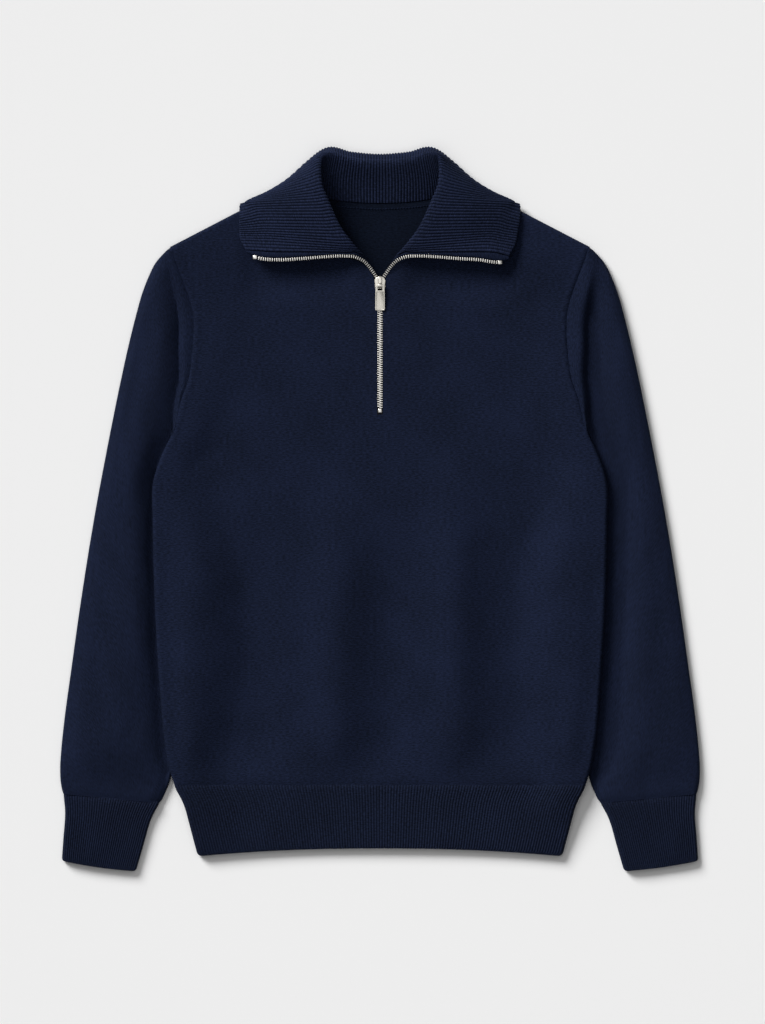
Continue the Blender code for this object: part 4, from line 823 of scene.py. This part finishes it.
def cornerInset(fromEnd):
    # how far a corner's rounding draws an edge in
    short = max(ribCut["corner"] - fromEnd, 0)
    return ribCut["corner"] - math.sqrt(ribCut["corner"] ** 2 - min(short, ribCut["corner"]) ** 2)


def hemRow(share):
    # a row of the hem, at a share of its run from the seam down to the free edge
    top = body["hemSeam"] + ribCut["under"]
    height = top + share * (body["hemCorner"] - top)
    half = float(bodyHalf(height)) - cornerInset(height - body["hemCorner"])
    sink = bump(top - height, 2.6)  # into the seam
    end = 0.35 * bump(1 - share, 0.02)  # the bound-off edge is a little softer
    return {
        "start": (-half, height), "end": (half, height), "radius": body["fold"] - 0.3 * share,
        "ridge": 1 - 0.5 * bump(share, 0.02),
        "bow": lambda t: share * (body["hemMiddle"] - body["hemCorner"]) * (
            1 - np.abs(np.clip(2 * t - 1, -1, 1)) ** 2.2),
        "lift": lambda x: bodyLift(x, height),
        "rise": lambda x, t: (1 - share) * frontRise(x, body["hemSeam"]) - sink - end
        + 0.25 * np.sin(x / 37 + 1) * share,
    }


def cuffRow(share, seed):
    cut = ribCut["cuff"]
    start = smoothThrough(cut["stage"], cut["inner"], share)
    end = smoothThrough(cut["stage"], cut["outer"], share)
    tucked = ribCut["under"] * (1 - softStep(share / 0.06))
    start, end = start + (-0.6 * tucked, tucked), end + (0, tucked)
    inset = cornerInset((1 - share) * lengthOf(cut["inner"])) * unit(end - start)
    start, end = start + inset, end - inset
    long = np.linalg.norm(end - start)
    sink = 0.9 * bump(share, 0.03)
    return {
        "start": start, "end": end, "radius": 3.5 + 0.3 * (1 - share),
        "ridge": 1 - 0.5 * bump(share, 0.03),
        "bow": lambda t: -share * 1.2 * np.sin(math.pi * np.clip(t, 0, 1)),
        "lift": lambda x: 0 * x,
        "rise": lambda x, t: (0.6 + 0.3 * np.sin(t * long / 9 + seed)) * np.sin(
            math.pi * np.clip(t, 0, 1)) - sink,
    }


hemKnit = ribTube("hemKnit", [hemRow(share) for share in ribCut["hemShares"]], ribCut["hemRibs"], bandRibbing)
standsFor(hemKnit, "hem_band")
for side, word, seed in ((1, "left", 0.4), (-1, "right", 2.1)):
    rows = [cuffRow(share, seed) for share in ribCut["cuffShares"]]
    piece = ribTube("cuffKnit" + word.title(), rows, ribCut["cuffRibs"], bandRibbing, side)
    standsFor(piece, "cuff_" + word)
print("hem and cuffs done")


collarCut = {
    "ribs": 116, "samples": 6, "cloth": 2.6, "ridge": 1,
    "crownRun": 13, "tuckRun": 9, "tuckedUp": 1.9,
    # the left corner hangs lower: its shift, how far that reaches in from the corner, and where it ends above
    "leftCorner": {"across": -6, "height": -7, "reach": 34, "from": 148, "upTo": (706, 50)},
    # points down each rib between two of a section's eight
    "stops": (*np.linspace(0, 1, 7), *np.linspace(1, 2, 8)[1:], *np.linspace(2, 3, 8)[1:],
              *np.linspace(3, 5, 10)[1:], *np.linspace(5, 6, 8)[1:], *np.linspace(6, 6.9, 6)[1:],
              6.93, 6.96, 6.985, 7),
    # sections from the front edge to the middle of the back: seam, stand, roll, crest, free edge
    "sections": [
        ((7.2, 635.4, 9), (12.5, 645.8, 13.5), (24, 657.3, 22.5), (110, 657, 23.5), (142, 658.8, 20.5)),
        ((22.6, 650, 12.2), (24, 656, 19.5), (28.1, 662.6, 26), (111, 667.5, 23), (147.3, 668.5, 18.5)),
        ((43, 656.5, 12.5), (41.3, 668.4, 24), (42.4, 682.7, 31), (121, 684, 22.5), (148.9, 682.2, 16.5)),
        ((62.5, 674.8, 12.5), (56.7, 689.6, 26), (53, 704.5, 34.5), (128, 703, 22), (148.9, 697.1, 14.5)),
        ((71.5, 688, 12.3), (63.5, 702, 26), (57.8, 715.6, 35.2), (136, 709.8, 18.5), (147.7, 706.3, 7)),
        ((78.5, 701, 12), (69.5, 714, 26), (62, 725.7, 35.5), (137.6, 711.3, 12), (142.4, 703, 1.4)),
        ((82.5, 719.8, 10.5), (73.1, 730, 24), (64.1, 741.6, 34.5), (117, 720.8, 9.5), (129.3, 688.6, 1.5)),
        ((81, 723.8, 9.3), (71.3, 735.3, 22.2), (63.8, 749.5, 33.5), (99.6, 731.6, 10), (116, 688.6, 1.5)),
        ((77.5, 726.5, 8), (69, 740.5, 20), (62.8, 757.2, 32), (80, 748.8, 11), (101.8, 688.6, 1.5)),
        ((61.5, 716.6, 5.2), (58.3, 738.4, 16.5), (54, 759.5, 27), (57.8, 765.2, 14), (65.7, 688.6, 1.5)),
        ((31.8, 710.9, 5), (31.8, 733.1, 13), (29.7, 752, 20.5), (29.7, 761.2, 11), (31.8, 686.5, 1.5)),
        ((0, 709.4, 5), (0, 732, 12), (0, 750, 18.5), (0, 758.9, 10), (0, 684.3, 1.5)),
    ],
    # ribs between the front edge and each section
    "ribAt": (0, 3, 9, 15.3, 18.6, 21.5, 25.8, 28.4, 31.8, 38.5, 48.2, 58),
}


def collarSection(row):
    # eight points down one rib, from the neck seam to the free edge
    seam, stand, roll, crest, edge = (np.array(point, float) for point in row)
    run = np.linalg.norm((crest - roll)[:2])
    crown = roll + min(0.5, collarCut["crownRun"] / run) * (crest - roll)
    crown[2] += 2.5 * (roll[2] - seam[2]) / 20
    fall = 0.5 * (crown + crest) + (0, 0, 1.5)
    if edge[2] < 3:
        reach = edge - crest
        tuck = crest + collarCut["tuckRun"] * reach / np.linalg.norm(reach[:2])
        tuck[2] = collarCut["tuckedUp"]
    else:
        tuck = 0.5 * (crest + edge)
    return np.array([seam, stand, roll, crown, fall, crest, tuck, edge])


def shiftLeftCorner(points, weight=1, sooner=0):
    corner = collarCut["leftCorner"]
    start = corner["from"] - corner["reach"] - sooner
    weight = softStep((points[..., 0] - start) / corner["reach"]) * weight
    points[..., 0] += corner["across"] * weight
    points[..., 1] += corner["height"] * weight


def collarGrid(columns, stops):
    # the middle of the collar's cloth, ribs by stops
    half = np.array([collarSection(row) for row in collarCut["sections"]])
    sections = np.concatenate([half, half[-2::-1] * np.array([-1, 1, 1])])
    above, over = collarCut["leftCorner"]["upTo"]
    shiftLeftCorner(sections, softStep((above - sections[..., 1]) / over))
    ribAt = np.array(collarCut["ribAt"])
    ribAt = np.concatenate([ribAt, collarCut["ribs"] - ribAt[-2::-1]])
    at = np.linspace(0, collarCut["ribs"], columns)
    grid = np.stack([smoothThrough(ribAt, sections[:, k], at) for k in range(sections.shape[1])], axis=0)
    return smoothThrough(np.arange(sections.shape[1]), grid, stops)


def makeCollar(material):
    stops = np.array(collarCut["stops"])
    middle = collarGrid(collarCut["ribs"] * collarCut["samples"] + 1, stops)
    normals = unit(np.cross(np.gradient(middle, axis=0), np.gradient(middle, axis=1)))
    if normals[20, 60, 2] < 0:  # a place on the lapel, whose face has to look up
        normals = -normals
    phase = np.arange(middle.shape[1]) / collarCut["samples"]
    profile = ribProfile(phase)[None, :]
    shown = softStep((normals[..., 2] + 0.45) / 0.5)  # ribs show where the cloth faces up
    shown[stops <= 2] = 1
    # the free edge is bound off round
    rounded = np.sqrt(1 - np.clip((stops - 6.9) / 0.1, 0, 0.97)[:, None] ** 2)
    shown = shown * rounded
    outer = middle + normals * ((collarCut["cloth"] / 2 - 0.3) * rounded
                                + collarCut["ridge"] * profile * shown)[..., None]
    outer[..., 2] = np.maximum(outer[..., 2], 0)
    inner = middle - normals * (0.55 * rounded + 0.5 * profile * shown)[..., None]
    inner[..., 2] = np.maximum(inner[..., 2], 0.15)
    uv = ribUv(phase, middle[:, 60], middle.shape[:2])
    return clothPiece("collarKnit", outer, inner, material, uv=uv)


collarKnit = standsFor(makeCollar(collarRibbingPaintedLight), "collar")
print("collar done")


zipCut = {
    "across": (5.8, 11.7, 18, 26.8, 40.3, 61.5, 83.1, 104.9, 126.4, 136.2),
    "height": (633.2, 641.6, 647.7, 651.6, 652.6, 651.6, 649.8, 648.5, 649.8, 652.2),
    "up": (12.4, 15.6, 19, 22, 23.4, 23.6, 23.2, 22.8, 21.8, 20.6),
    "tooth": (3.4, 1.15, 2.2), "toothPitch": 2.4, "chainDepth": 2.6,
    "meet": 1.1,  # the closed chain's teeth lie this far to either side of the middle
    "bandThick": 2.9, "bandEnd": 6, "edgeReach": 0.965,
    "teethEnd": 0.955,  # share of the lapel's zip where the top stop begins
    "tapeWidth": 11, "tapeThick": 0.6, "tapeEnd": 473.4, "tapeBeneath": 2.6,
}


def lapelEdge(side, samples):
    # the cloth's edge, the line of teeth beside it and the frame between them
    grid = collarGrid(2 * collarCut["ribs"] + 1, np.array([0, 1, 2, 3, 3.9, 5, 5.5, 6, 7]))
    edge = grid[:, 0] if side > 0 else grid[:, -1]
    table = np.stack([zipCut["across"], zipCut["height"], zipCut["up"]], axis=1)
    if side > 0:
        shiftLeftCorner(table, sooner=6)
    travel = travelOf(table)
    share = np.linspace(0, 1, samples)
    teeth = smoothThrough(travel, table, share * travel[-1])
    teeth[:, 0] *= side
    fineEdge = smoothThrough(np.arange(len(edge)), edge, np.linspace(0, len(edge) - 1, 120))
    cloth = along(fineEdge, share * zipCut["edgeReach"])
    across = unit(teeth - cloth)
    normal = unit(np.cross(across, np.gradient(teeth, axis=0)) * -side)
    return cloth, teeth, across, normal, share


def edgeBand(name, side, material):
    # plain knit folded over the zip tape: a groove beside the ribs, then a soft roll up to the teeth
    cloth, teeth, across, normal, share = lapelEdge(side, 90)
    near = cloth + across * (0.5 + 1.7 * (1 - softStep(share / 0.6)))[:, None]
    far = teeth - across * (zipCut["tooth"][0] / 2 + body["seam"])
    # past the last tooth the band closes round
    steps = quarterTurn * np.linspace(0, 1, 9)[1:]
    onward = unit(teeth[-1] - teeth[-3]) * zipCut["bandEnd"]
    middle, half = 0.5 * (near + far), 0.5 * (far - near)
    middle = np.concatenate([middle, middle[-1] + onward * np.sin(steps)[:, None]])
    half = np.concatenate([half, half[-1] * np.maximum(np.cos(steps), 0.06)[:, None]])
    normal = np.concatenate([normal, np.repeat(normal[-1:], len(steps), axis=0)])
    thick = 0.5 * zipCut["bandThick"] * np.concatenate([np.ones(len(near)), 0.55 + 0.45 * np.cos(steps)])
    around = np.linspace(0, 2 * math.pi, 25)[:-1]
    flat = np.sign(np.cos(around)) * np.abs(np.cos(around)) ** 0.85
    swell = np.sign(np.sin(around)) * np.abs(np.sin(around)) ** 0.9
    outer, inner = (middle[:, None] + half[:, None] * wide * flat[None, :, None]
                    + normal[:, None] * (high * thick[:, None] * swell)[..., None]
                    for wide, high in ((1, 1), (0.6, 0.35)))
    return clothPiece(name, outer, inner, material, ring=True)


def toothMesh():
    # one tooth, modelled from a cube: a short bar with rounded edges
    nothingSelected()
    bpy.ops.mesh.primitive_cube_add(size=1)
    tooth = bpy.context.object
    editAll(tooth)
    bpy.ops.transform.resize(value=zipCut["tooth"])
    bpy.ops.mesh.bevel(offset=0.2, segments=2, affect="EDGES")
    editDone()
    points = np.array([vertex.co[:] for vertex in tooth.data.vertices])
    faces = [tuple(face.vertices) for face in tooth.data.polygons]
    bpy.data.meshes.remove(tooth.data)  # and the piece with it
    return points, faces


toothPoints, toothFaces = toothMesh()


def rowOfTeeth(name, places, material):
    # copies of the tooth, each at its own place with its own axes, as one mesh
    points, faces = [], []
    for centre, axes in places:
        shift = len(points) * len(toothPoints)
        points.append(centre + toothPoints @ np.array(axes))
        faces += [tuple(i + shift for i in face) for face in toothFaces]
    piece = newPiece(name, np.concatenate(points), faces, material)
    facesOut(piece)
    smoothShaded(piece, 35)
    return piece


for side, word in ((1, "left"), (-1, "right")):
    band = edgeBand("edgeBand" + word.title(), side, jersey)
    standsFor(band, "collar_edge_" + word)
    teeth = lapelEdge(side, 400)[1]
    travel = travelOf(teeth)
    count = int((travel[-1] * zipCut["teethEnd"] - 0.2) / zipCut["toothPitch"])
    places = []
    for k in range(-2, count + 1):
        at = 0.3 + k * zipCut["toothPitch"]
        centre, ahead = (np.array([np.interp(mark, travel, teeth[:, j]) for j in range(3)])
                         for mark in (at, at + 1))
        centre = centre + unit(teeth[0] - teeth[3]) * max(-at, 0)  # the first ones run in under the slider
        onward = unit(ahead - centre) * side
        out = np.array([onward[1], -onward[0], 0])
        out = unit(out - onward * np.dot(out, onward))
        up = np.cross(onward, out)
        up = up if up[2] > 0 else -up
        places.append((centre, (out, np.cross(up, out), up)))
    row = rowOfTeeth("lapelTeeth" + word.title(), places, castTeeth)
    standsFor(row, "zip_teeth_" + word)

# closed chain in the slit: teeth of the two sides alternate and meet in the middle
places = []
bottom, top = body["slitEnd"] + 7.6, body["slitTop"] - 0.4
for side, start in ((1, 0), (-1, zipCut["toothPitch"] / 2)):
    for height in np.arange(bottom + start, top, zipCut["toothPitch"]):
        level = slitLevel(height) - body["seam"] - zipCut["chainDepth"] / 2
        places.append((np.array([side * zipCut["meet"], height, level + 0.1]), np.eye(3)))
standsFor(rowOfTeeth("closedChain", places, castTeeth), "zip_chain")


def tape(name, side, material):
    # it follows the front's underside, and lies level where it comes out beneath the chain
    heights = np.linspace(zipCut["tapeEnd"], body["slitTop"] - 1, 60)
    inner = np.where(heights < body["slitEnd"] + 6, 0.3, body["slitHalf"])
    outX = body["slitHalf"] + zipCut["tapeWidth"]
    share = np.linspace(0, 1, 7)
    x = inner[:, None] * (1 - share) + outX * share
    under = body["seam"] + zipCut["tapeThick"] / 2 + zipCut["tapeBeneath"]
    z = frontTop(side * x, np.broadcast_to(heights[:, None], x.shape)) - under
    flat = np.broadcast_to(frontTop(body["slitHalf"], heights)[:, None] - under, x.shape)
    z = flat * (1 - share) + z * share
    middle = np.stack([side * x, np.broadcast_to(heights[:, None], x.shape), z], axis=-1)
    half = np.array([0, 0, zipCut["tapeThick"] / 2])
    return clothPiece(name, middle + half, middle - half, material)


for side, word in ((1, "left"), (-1, "right")):
    piece = tape("wovenTape" + word.title(), side, wovenTape)
    standsFor(piece, "zip_tape_" + word)
print("zip chain done")

sliderCut = {
    "hinge": 621.2, "overTeeth": 3.9,  # where the middle of the bail's eye sits
    # wide, long, thick, how far its middle lies up the zip and over the hinge, its dome and its narrow end
    "plate": (11.6, 13.1, 1.4, 3.25, -2.5, 5.5, 0.72),
    "backPlate": (8.8, 13.1, 1.2, 3.25, -8, 3.6, 0.72),
    # wide, long, thick, middle across, up the zip and over the hinge, and the rounding of its edges
    "post": (4.6, 7, 6.4, 0, 4.6, -5.2, 0.4),
    "ridge": (4.4, 8.2, 1.9, 0, 5.2, -1.3, 0.8),
    "flanges": (1.1, 7.4, 3, 5, 1.8, -4, 0.35),
    "bailWide": 4.4, "bailInner": 1.45, "bailOuter": 2.85, "bailSteps": 28,
    "edge": 0.32,
}
pullCut = {
    "top": 9.7, "bottom": 10.4, "above": 1, "below": 26.8, "thick": 1.3, "corner": 1.7,
    "slotHalf": 2.5, "slotFrom": -5.2, "slotTo": -1, "rim": 1.15, "sunk": 0.28, "edge": 0.2,
    "restOver": 0.4,  # clear of the teeth at its free end
}
hinge = np.array([0, sliderCut["hinge"],
                  slitLevel(sliderCut["hinge"]) - body["seam"] + sliderCut["overTeeth"]])


def hardBlock(wide, long, thick, across=0, along=0, up=0, about=hinge):
    # a block at its size and place, in mm
    nothingSelected()
    place = inMetres(about + np.array([across, along, up])).tolist()
    bpy.ops.mesh.primitive_cube_add(size=1, location=place, scale=(wide * mm, long * mm, thick * mm))
    bpy.ops.object.transform_apply(location=True, rotation=True, scale=True)
    return bpy.context.object


def editWhere(piece, kind, test):
    # edit mode, with the vertices, edges or faces selected whose corners pass the test, in mm from the hinge
    bpy.ops.object.mode_set(mode="EDIT")
    bpy.ops.mesh.select_mode(type=kind)
    bpy.ops.mesh.select_all(action="DESELECT")
    editDone()
    points = np.array([vertex.co[:] for vertex in piece.data.vertices]) / mm + (0, middleHeight, 0) - hinge
    items = {"VERT": piece.data.vertices, "EDGE": piece.data.edges, "FACE": piece.data.polygons}[kind]
    for item in items:
        corners = points[[item.index]] if kind == "VERT" else points[list(item.vertices)]
        item.select = bool(test(corners))
    bpy.ops.object.mode_set(mode="EDIT")


def bevelEdges(offset, segments):
    bpy.ops.mesh.bevel(offset=offset * mm, segments=segments, affect="EDGES")


def softEdges(piece, width, angle=40):
    modifier = piece.modifiers.new("softEdges", "BEVEL")
    modifier.width = width * mm
    modifier.segments = 3
    modifier.limit_method = "ANGLE"
    modifier.angle_limit = math.radians(angle)
    onlySelected(piece)
    bpy.ops.object.modifier_apply(modifier=modifier.name)


def finishHard(piece, name, material, angle):
    piece.name = piece.data.name = name
    piece.data.materials.clear()
    piece.data.materials.append(material)
    smoothShaded(piece, angle)
    return piece


def isUpright(points):
    return abs(points[0, 2] - points[1, 2]) > 0.5 and np.ptp(points[:, 1]) < 0.1


def sliderPlate(wide, long, thick, along, up, dome, narrow):
    # a plate with a domed upper end and a drawn-in lower end
    plate = hardBlock(wide, long, thick, 0, along, up)
    editWhere(plate, "EDGE", lambda points: isUpright(points) and points[0, 1] > along)
    bevelEdges(dome, 7)
    editDone()
    editWhere(plate, "VERT", lambda points: points[0, 1] < along - 0.4 * long)
    bpy.ops.transform.resize(value=(narrow, 1, 1))
    editDone()
    editWhere(plate, "EDGE", lambda points: isUpright(points) and points[0, 1] < along - 0.4 * long)
    bevelEdges(0.9, 3)
    editDone()
    softEdges(plate, sliderCut["edge"])
    return plate


def makeSlider():
    parts = [sliderPlate(*sliderCut["plate"]), sliderPlate(*sliderCut["backPlate"])]
    for key, sides in (("post", (1,)), ("ridge", (1,)), ("flanges", (1, -1))):
        wide, long, thick, across, along, up, rounding = sliderCut[key]
        for side in sides:
            part = hardBlock(wide, long, thick, side * across, along, up)
            softEdges(part, rounding)
            parts.append(part)
    # the bail: a small section spun round the hinge's axis
    nothingSelected()
    inner, outer = sliderCut["bailInner"], sliderCut["bailOuter"]
    place = inMetres(hinge + (0, 0.5 * (inner + outer), 0))
    bpy.ops.mesh.primitive_plane_add(size=1, location=place.tolist())
    bail = bpy.context.object
    editAll(bail)
    bpy.ops.transform.resize(value=(sliderCut["bailWide"] * mm, (outer - inner) * mm, 1))
    bpy.ops.mesh.delete(type="ONLY_FACE")
    bpy.ops.mesh.select_all(action="SELECT")
    bpy.ops.mesh.spin(steps=sliderCut["bailSteps"], angle=2 * math.pi, center=inMetres(hinge).tolist(),
                      axis=(1, 0, 0))
    bpy.ops.mesh.select_all(action="SELECT")
    bpy.ops.mesh.remove_doubles(threshold=0.00001)
    facesOut(bail)
    bpy.ops.object.transform_apply(location=True, rotation=True, scale=True)
    softEdges(bail, 0.25)
    onlySelected(parts[0])
    for part in parts + [bail]:
        part.select_set(True)
    bpy.ops.object.join()
    return finishHard(bpy.context.object, "sliderBody", satinNickel, 35)


def makePull():
    # a flat tab with a slot for the bail, a raised rim and a sunk, plain field
    cut = pullCut
    half, low, high = cut["slotHalf"], cut["slotFrom"], cut["slotTo"]
    above, below = cut["above"], cut["below"]
    pull = hardBlock(cut["bottom"], above + below, cut["thick"], 0, 0.5 * (above - below))
    editWhere(pull, "VERT", lambda points: points[0, 1] > 0)
    bpy.ops.transform.resize(value=(cut["top"] / cut["bottom"], 1, 1))
    editDone()
    editWhere(pull, "EDGE", isUpright)
    bevelEdges(cut["corner"], 5)

    def cutThrough(across, along):
        # a cut through what is selected, straight across or straight along the tab
        place = inMetres(hinge + (across, along, 0)).tolist()
        bpy.ops.mesh.bisect(plane_co=place, plane_no=(1, 0, 0) if across else (0, 1, 0))

    def onSlotBand(points):
        within = points[:, 1].min() > low - 0.01 and points[:, 1].max() < high + 0.01
        return within and np.ptp(points[:, 2]) < 0.01

    for height in (low, high):
        bpy.ops.mesh.select_all(action="SELECT")
        cutThrough(0, height)
    editDone()
    for side in (1, -1):
        editWhere(pull, "FACE", onSlotBand)
        cutThrough(side * half, 0)
        editDone()
    editWhere(pull, "FACE", lambda points: onSlotBand(points) and np.abs(points[:, 0]).max() < half + 0.01)
    bpy.ops.mesh.bridge_edge_loops()
    editDone()
    # the field of the upper face
    editWhere(pull, "FACE", lambda points: (
        points[:, 2].min() > 0.1 and points[:, 1].max() < low + 0.01 and len(points) > 4))
    bpy.ops.mesh.inset(thickness=cut["rim"] * mm, depth=0)
    bpy.ops.mesh.inset(thickness=0.35 * mm, depth=-cut["sunk"] * mm)
    bpy.ops.mesh.select_all(action="SELECT")
    bpy.ops.mesh.normals_make_consistent(inside=False)
    level = slitLevel(hinge[1] - below) + cut["restOver"] + 0.5 * cut["thick"]
    tilt = math.asin((hinge[2] - level) / below)
    bpy.ops.transform.rotate(value=-tilt, orient_axis="X", center_override=inMetres(hinge).tolist())
    editDone()
    softEdges(pull, cut["edge"], 50)
    return finishHard(pull, "pullTab", satinNickel, 30)


standsFor(makeSlider(), "zip_slider")
standsFor(makePull(), "zip_pull", "pull")
print("slider and pull done")

stopCut = {"wide": 4.4, "long": 4.6, "deep": 2.8, "edge": 0.9}


def makeStop(name, node, centre, out, onward):
    # a clamped metal stop, modelled at the origin and put in place in its mesh
    middle = np.array([0, middleHeight, 0])
    stop = hardBlock(stopCut["wide"], stopCut["long"], stopCut["deep"], about=middle)
    softEdges(stop, stopCut["edge"])
    out, onward = Vector(out).normalized(), Vector(onward).normalized()
    up = out.cross(onward).normalized()
    turned = Matrix((out, up.cross(out), up)).transposed().to_4x4()
    stop.data.transform(Matrix.Translation(inMetres(centre).tolist()) @ turned)
    standsFor(finishHard(stop, name, castTeeth, 40), node)


for side, word in ((1, "left"), (-1, "right")):
    first, last = along(lapelEdge(side, 400)[1], np.array([zipCut["teethEnd"] - 0.008, 0.998]))
    middle = 0.5 * (first + last)
    makeStop("topStop" + word.title(), "zip_top_stop_" + word, middle, (0, -side, 0), last - first)
bottomUp = slitLevel(body["slitEnd"] + 4) - body["seam"] - 0.5 * stopCut["deep"]
makeStop("bottomStop", "zip_bottom_stop", (0, body["slitEnd"] + 4.1, bottomUp + 0.6), (1, 0, 0), (0, 1, 0))
print("stops done")

stitchCut = {
    "zip": {"beside": 8.2, "middle": -0.6, "from": 484, "to": 616, "long": 2.5, "gap": 0.8, "thick": 0.55},
    "neck": {"below": 5.3, "reach": 66, "long": 2.6, "gap": 0.5, "thick": 0.9},
    "around": 6, "swell": (0.15, 0.85, 1, 0.85, 0.15), "sunk": 0.35,  # along one thread
}


def zipStitchPath():
    # down one side of the zip, round below it and up the other side, lying in the front
    cut = stitchCut["zip"]
    turn = np.linspace(0, math.pi, 9)
    curve = np.stack([-cut["beside"] * np.cos(turn), cut["from"] + 3 - 3 * np.sin(turn)], axis=1)
    flat = np.concatenate([[(-cut["beside"], cut["to"])], curve, [(cut["beside"], cut["to"])]])
    flat = along(flat + (cut["middle"], 0), np.linspace(0, 1, 120))
    return np.stack([flat[:, 0], flat[:, 1], frontTop(flat[:, 0], flat[:, 1]) - 0.1], axis=1)


def neckStitchPath():
    # along the neck seam inside the back, where its allowance is caught down
    cut = stitchCut["neck"]
    half = neckLineOf(panelCut["back"], 60)
    heading = unit(np.gradient(half, axis=0))
    half = half + np.stack([heading[:, 1], -heading[:, 0]], axis=1) * cut["below"]
    half = half[(half[:, 0] < cut["reach"]) & (half[:, 0] > 2)]
    flat = np.concatenate([half[::-1] * (-1, 1), half])
    return np.stack([flat[:, 0], flat[:, 1], bodyLift(flat[:, 0], flat[:, 1]) + body["cloth"] + 1.2], axis=1)


def stitchRow(name, path, cut, material):
    # short threads, end to end along a path in mm, that sink in at both ends
    total = lengthOf(path)
    count, swells = stitchCut["around"], stitchCut["swell"]
    around = np.linspace(0, 2 * math.pi, count + 1)[:-1]
    last = (len(swells) - 1) * count
    points, faces = [], []
    for mark in np.arange(0, total - cut["long"], cut["long"] + cut["gap"]):
        middles = along(path, (mark + np.linspace(0, cut["long"], len(swells))) / total)
        heading = unit(middles[-1] - middles[0])
        aside = np.array([-heading[1], heading[0], 0])
        shift = len(points)
        for middle, swell in zip(middles, swells):
            radius = 0.5 * cut["thick"] * swell
            ring = middle + aside * (radius * np.cos(around))[:, None]
            ring[:, 2] += radius * np.sin(around) - stitchCut["sunk"] * (1 - swell)
            points += list(ring)
        for start in range(shift, shift + last, count):
            for j in range(count):
                n = (j + 1) % count
                faces.append((start + j, start + n, start + count + n, start + count + j))
        faces.append(tuple(range(shift, shift + count))[::-1])
        faces.append(tuple(range(shift + last, shift + last + count)))
    piece = newPiece(name, points, faces, material)
    layer = piece.data.uv_layers.new(name="stitches")
    for loop in piece.data.loops:
        layer.data[loop.index].uv = piece.data.vertices[loop.vertex_index].co[:2]
    facesOut(piece)
    smoothShaded(piece, 50)
    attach(piece, "garment")


for name, path, cut, material in (("zipTopstitch", zipStitchPath(), stitchCut["zip"], thread),
                                  ("neckSeamStitch", neckStitchPath(), stitchCut["neck"], jersey)):
    stitchRow(name, path, cut, material)
print("stitches done")


studio = {
    "ortho": 1.0854, "aim": (0.00265, -0.0029), "floor": "#f0f0f0",
    "key": 3.95, "keyAngle": 28, "keyTravels": (0.55, -0.63, -0.52),
    "box": 28, "boxSize": (3, 3), "boxPlace": (-0.15, 0.1, 3.4),  # over the metal, for its bright faces
    "air": 0.12,
}
nothingSelected()
bpy.ops.mesh.primitive_plane_add(size=8, location=(0, 0, 0))
floor = bpy.context.object
floor.name = "floor"
paper, tree = nodesOf("matPaintedFloor")  # smooth matt paint, no gloss
paint = tree.nodes["Principled BSDF"].inputs
paint["Base Color"].default_value, paint["Roughness"].default_value = linearColour(studio["floor"]), 0.95
floor.data.materials.append(paper)
floor.data.transform(Matrix.Translation((0, 0, -0.0002)))

camera = inScene("overheadCamera", bpy.data.cameras.new("overheadCamera"))
camera.data.type = "ORTHO"
camera.data.ortho_scale = studio["ortho"]
camera.location = (*studio["aim"], 3)
scene.camera = camera

sun = inScene("softKey", bpy.data.lights.new("softKey", "SUN"))
sun.data.energy = studio["key"]
sun.data.angle = math.radians(studio["keyAngle"])
sun.rotation_euler = Vector(studio["keyTravels"]).to_track_quat("-Z", "Y").to_euler()

softbox = inScene("overheadSoftbox", bpy.data.lights.new("overheadSoftbox", "AREA"))
softbox.data.shape = "RECTANGLE"
softbox.data.size, softbox.data.size_y = studio["boxSize"]
softbox.data.energy = studio["box"]
softbox.location = studio["boxPlace"]

scene.world = bpy.data.worlds.new("studioAir")
scene.world.use_nodes = True
air = scene.world.node_tree.nodes["Background"].inputs
air["Color"].default_value, air["Strength"].default_value = (1, 1, 1, 1), studio["air"]
scene.view_settings.view_transform = "Standard"
print("studio done")

nothingSelected()
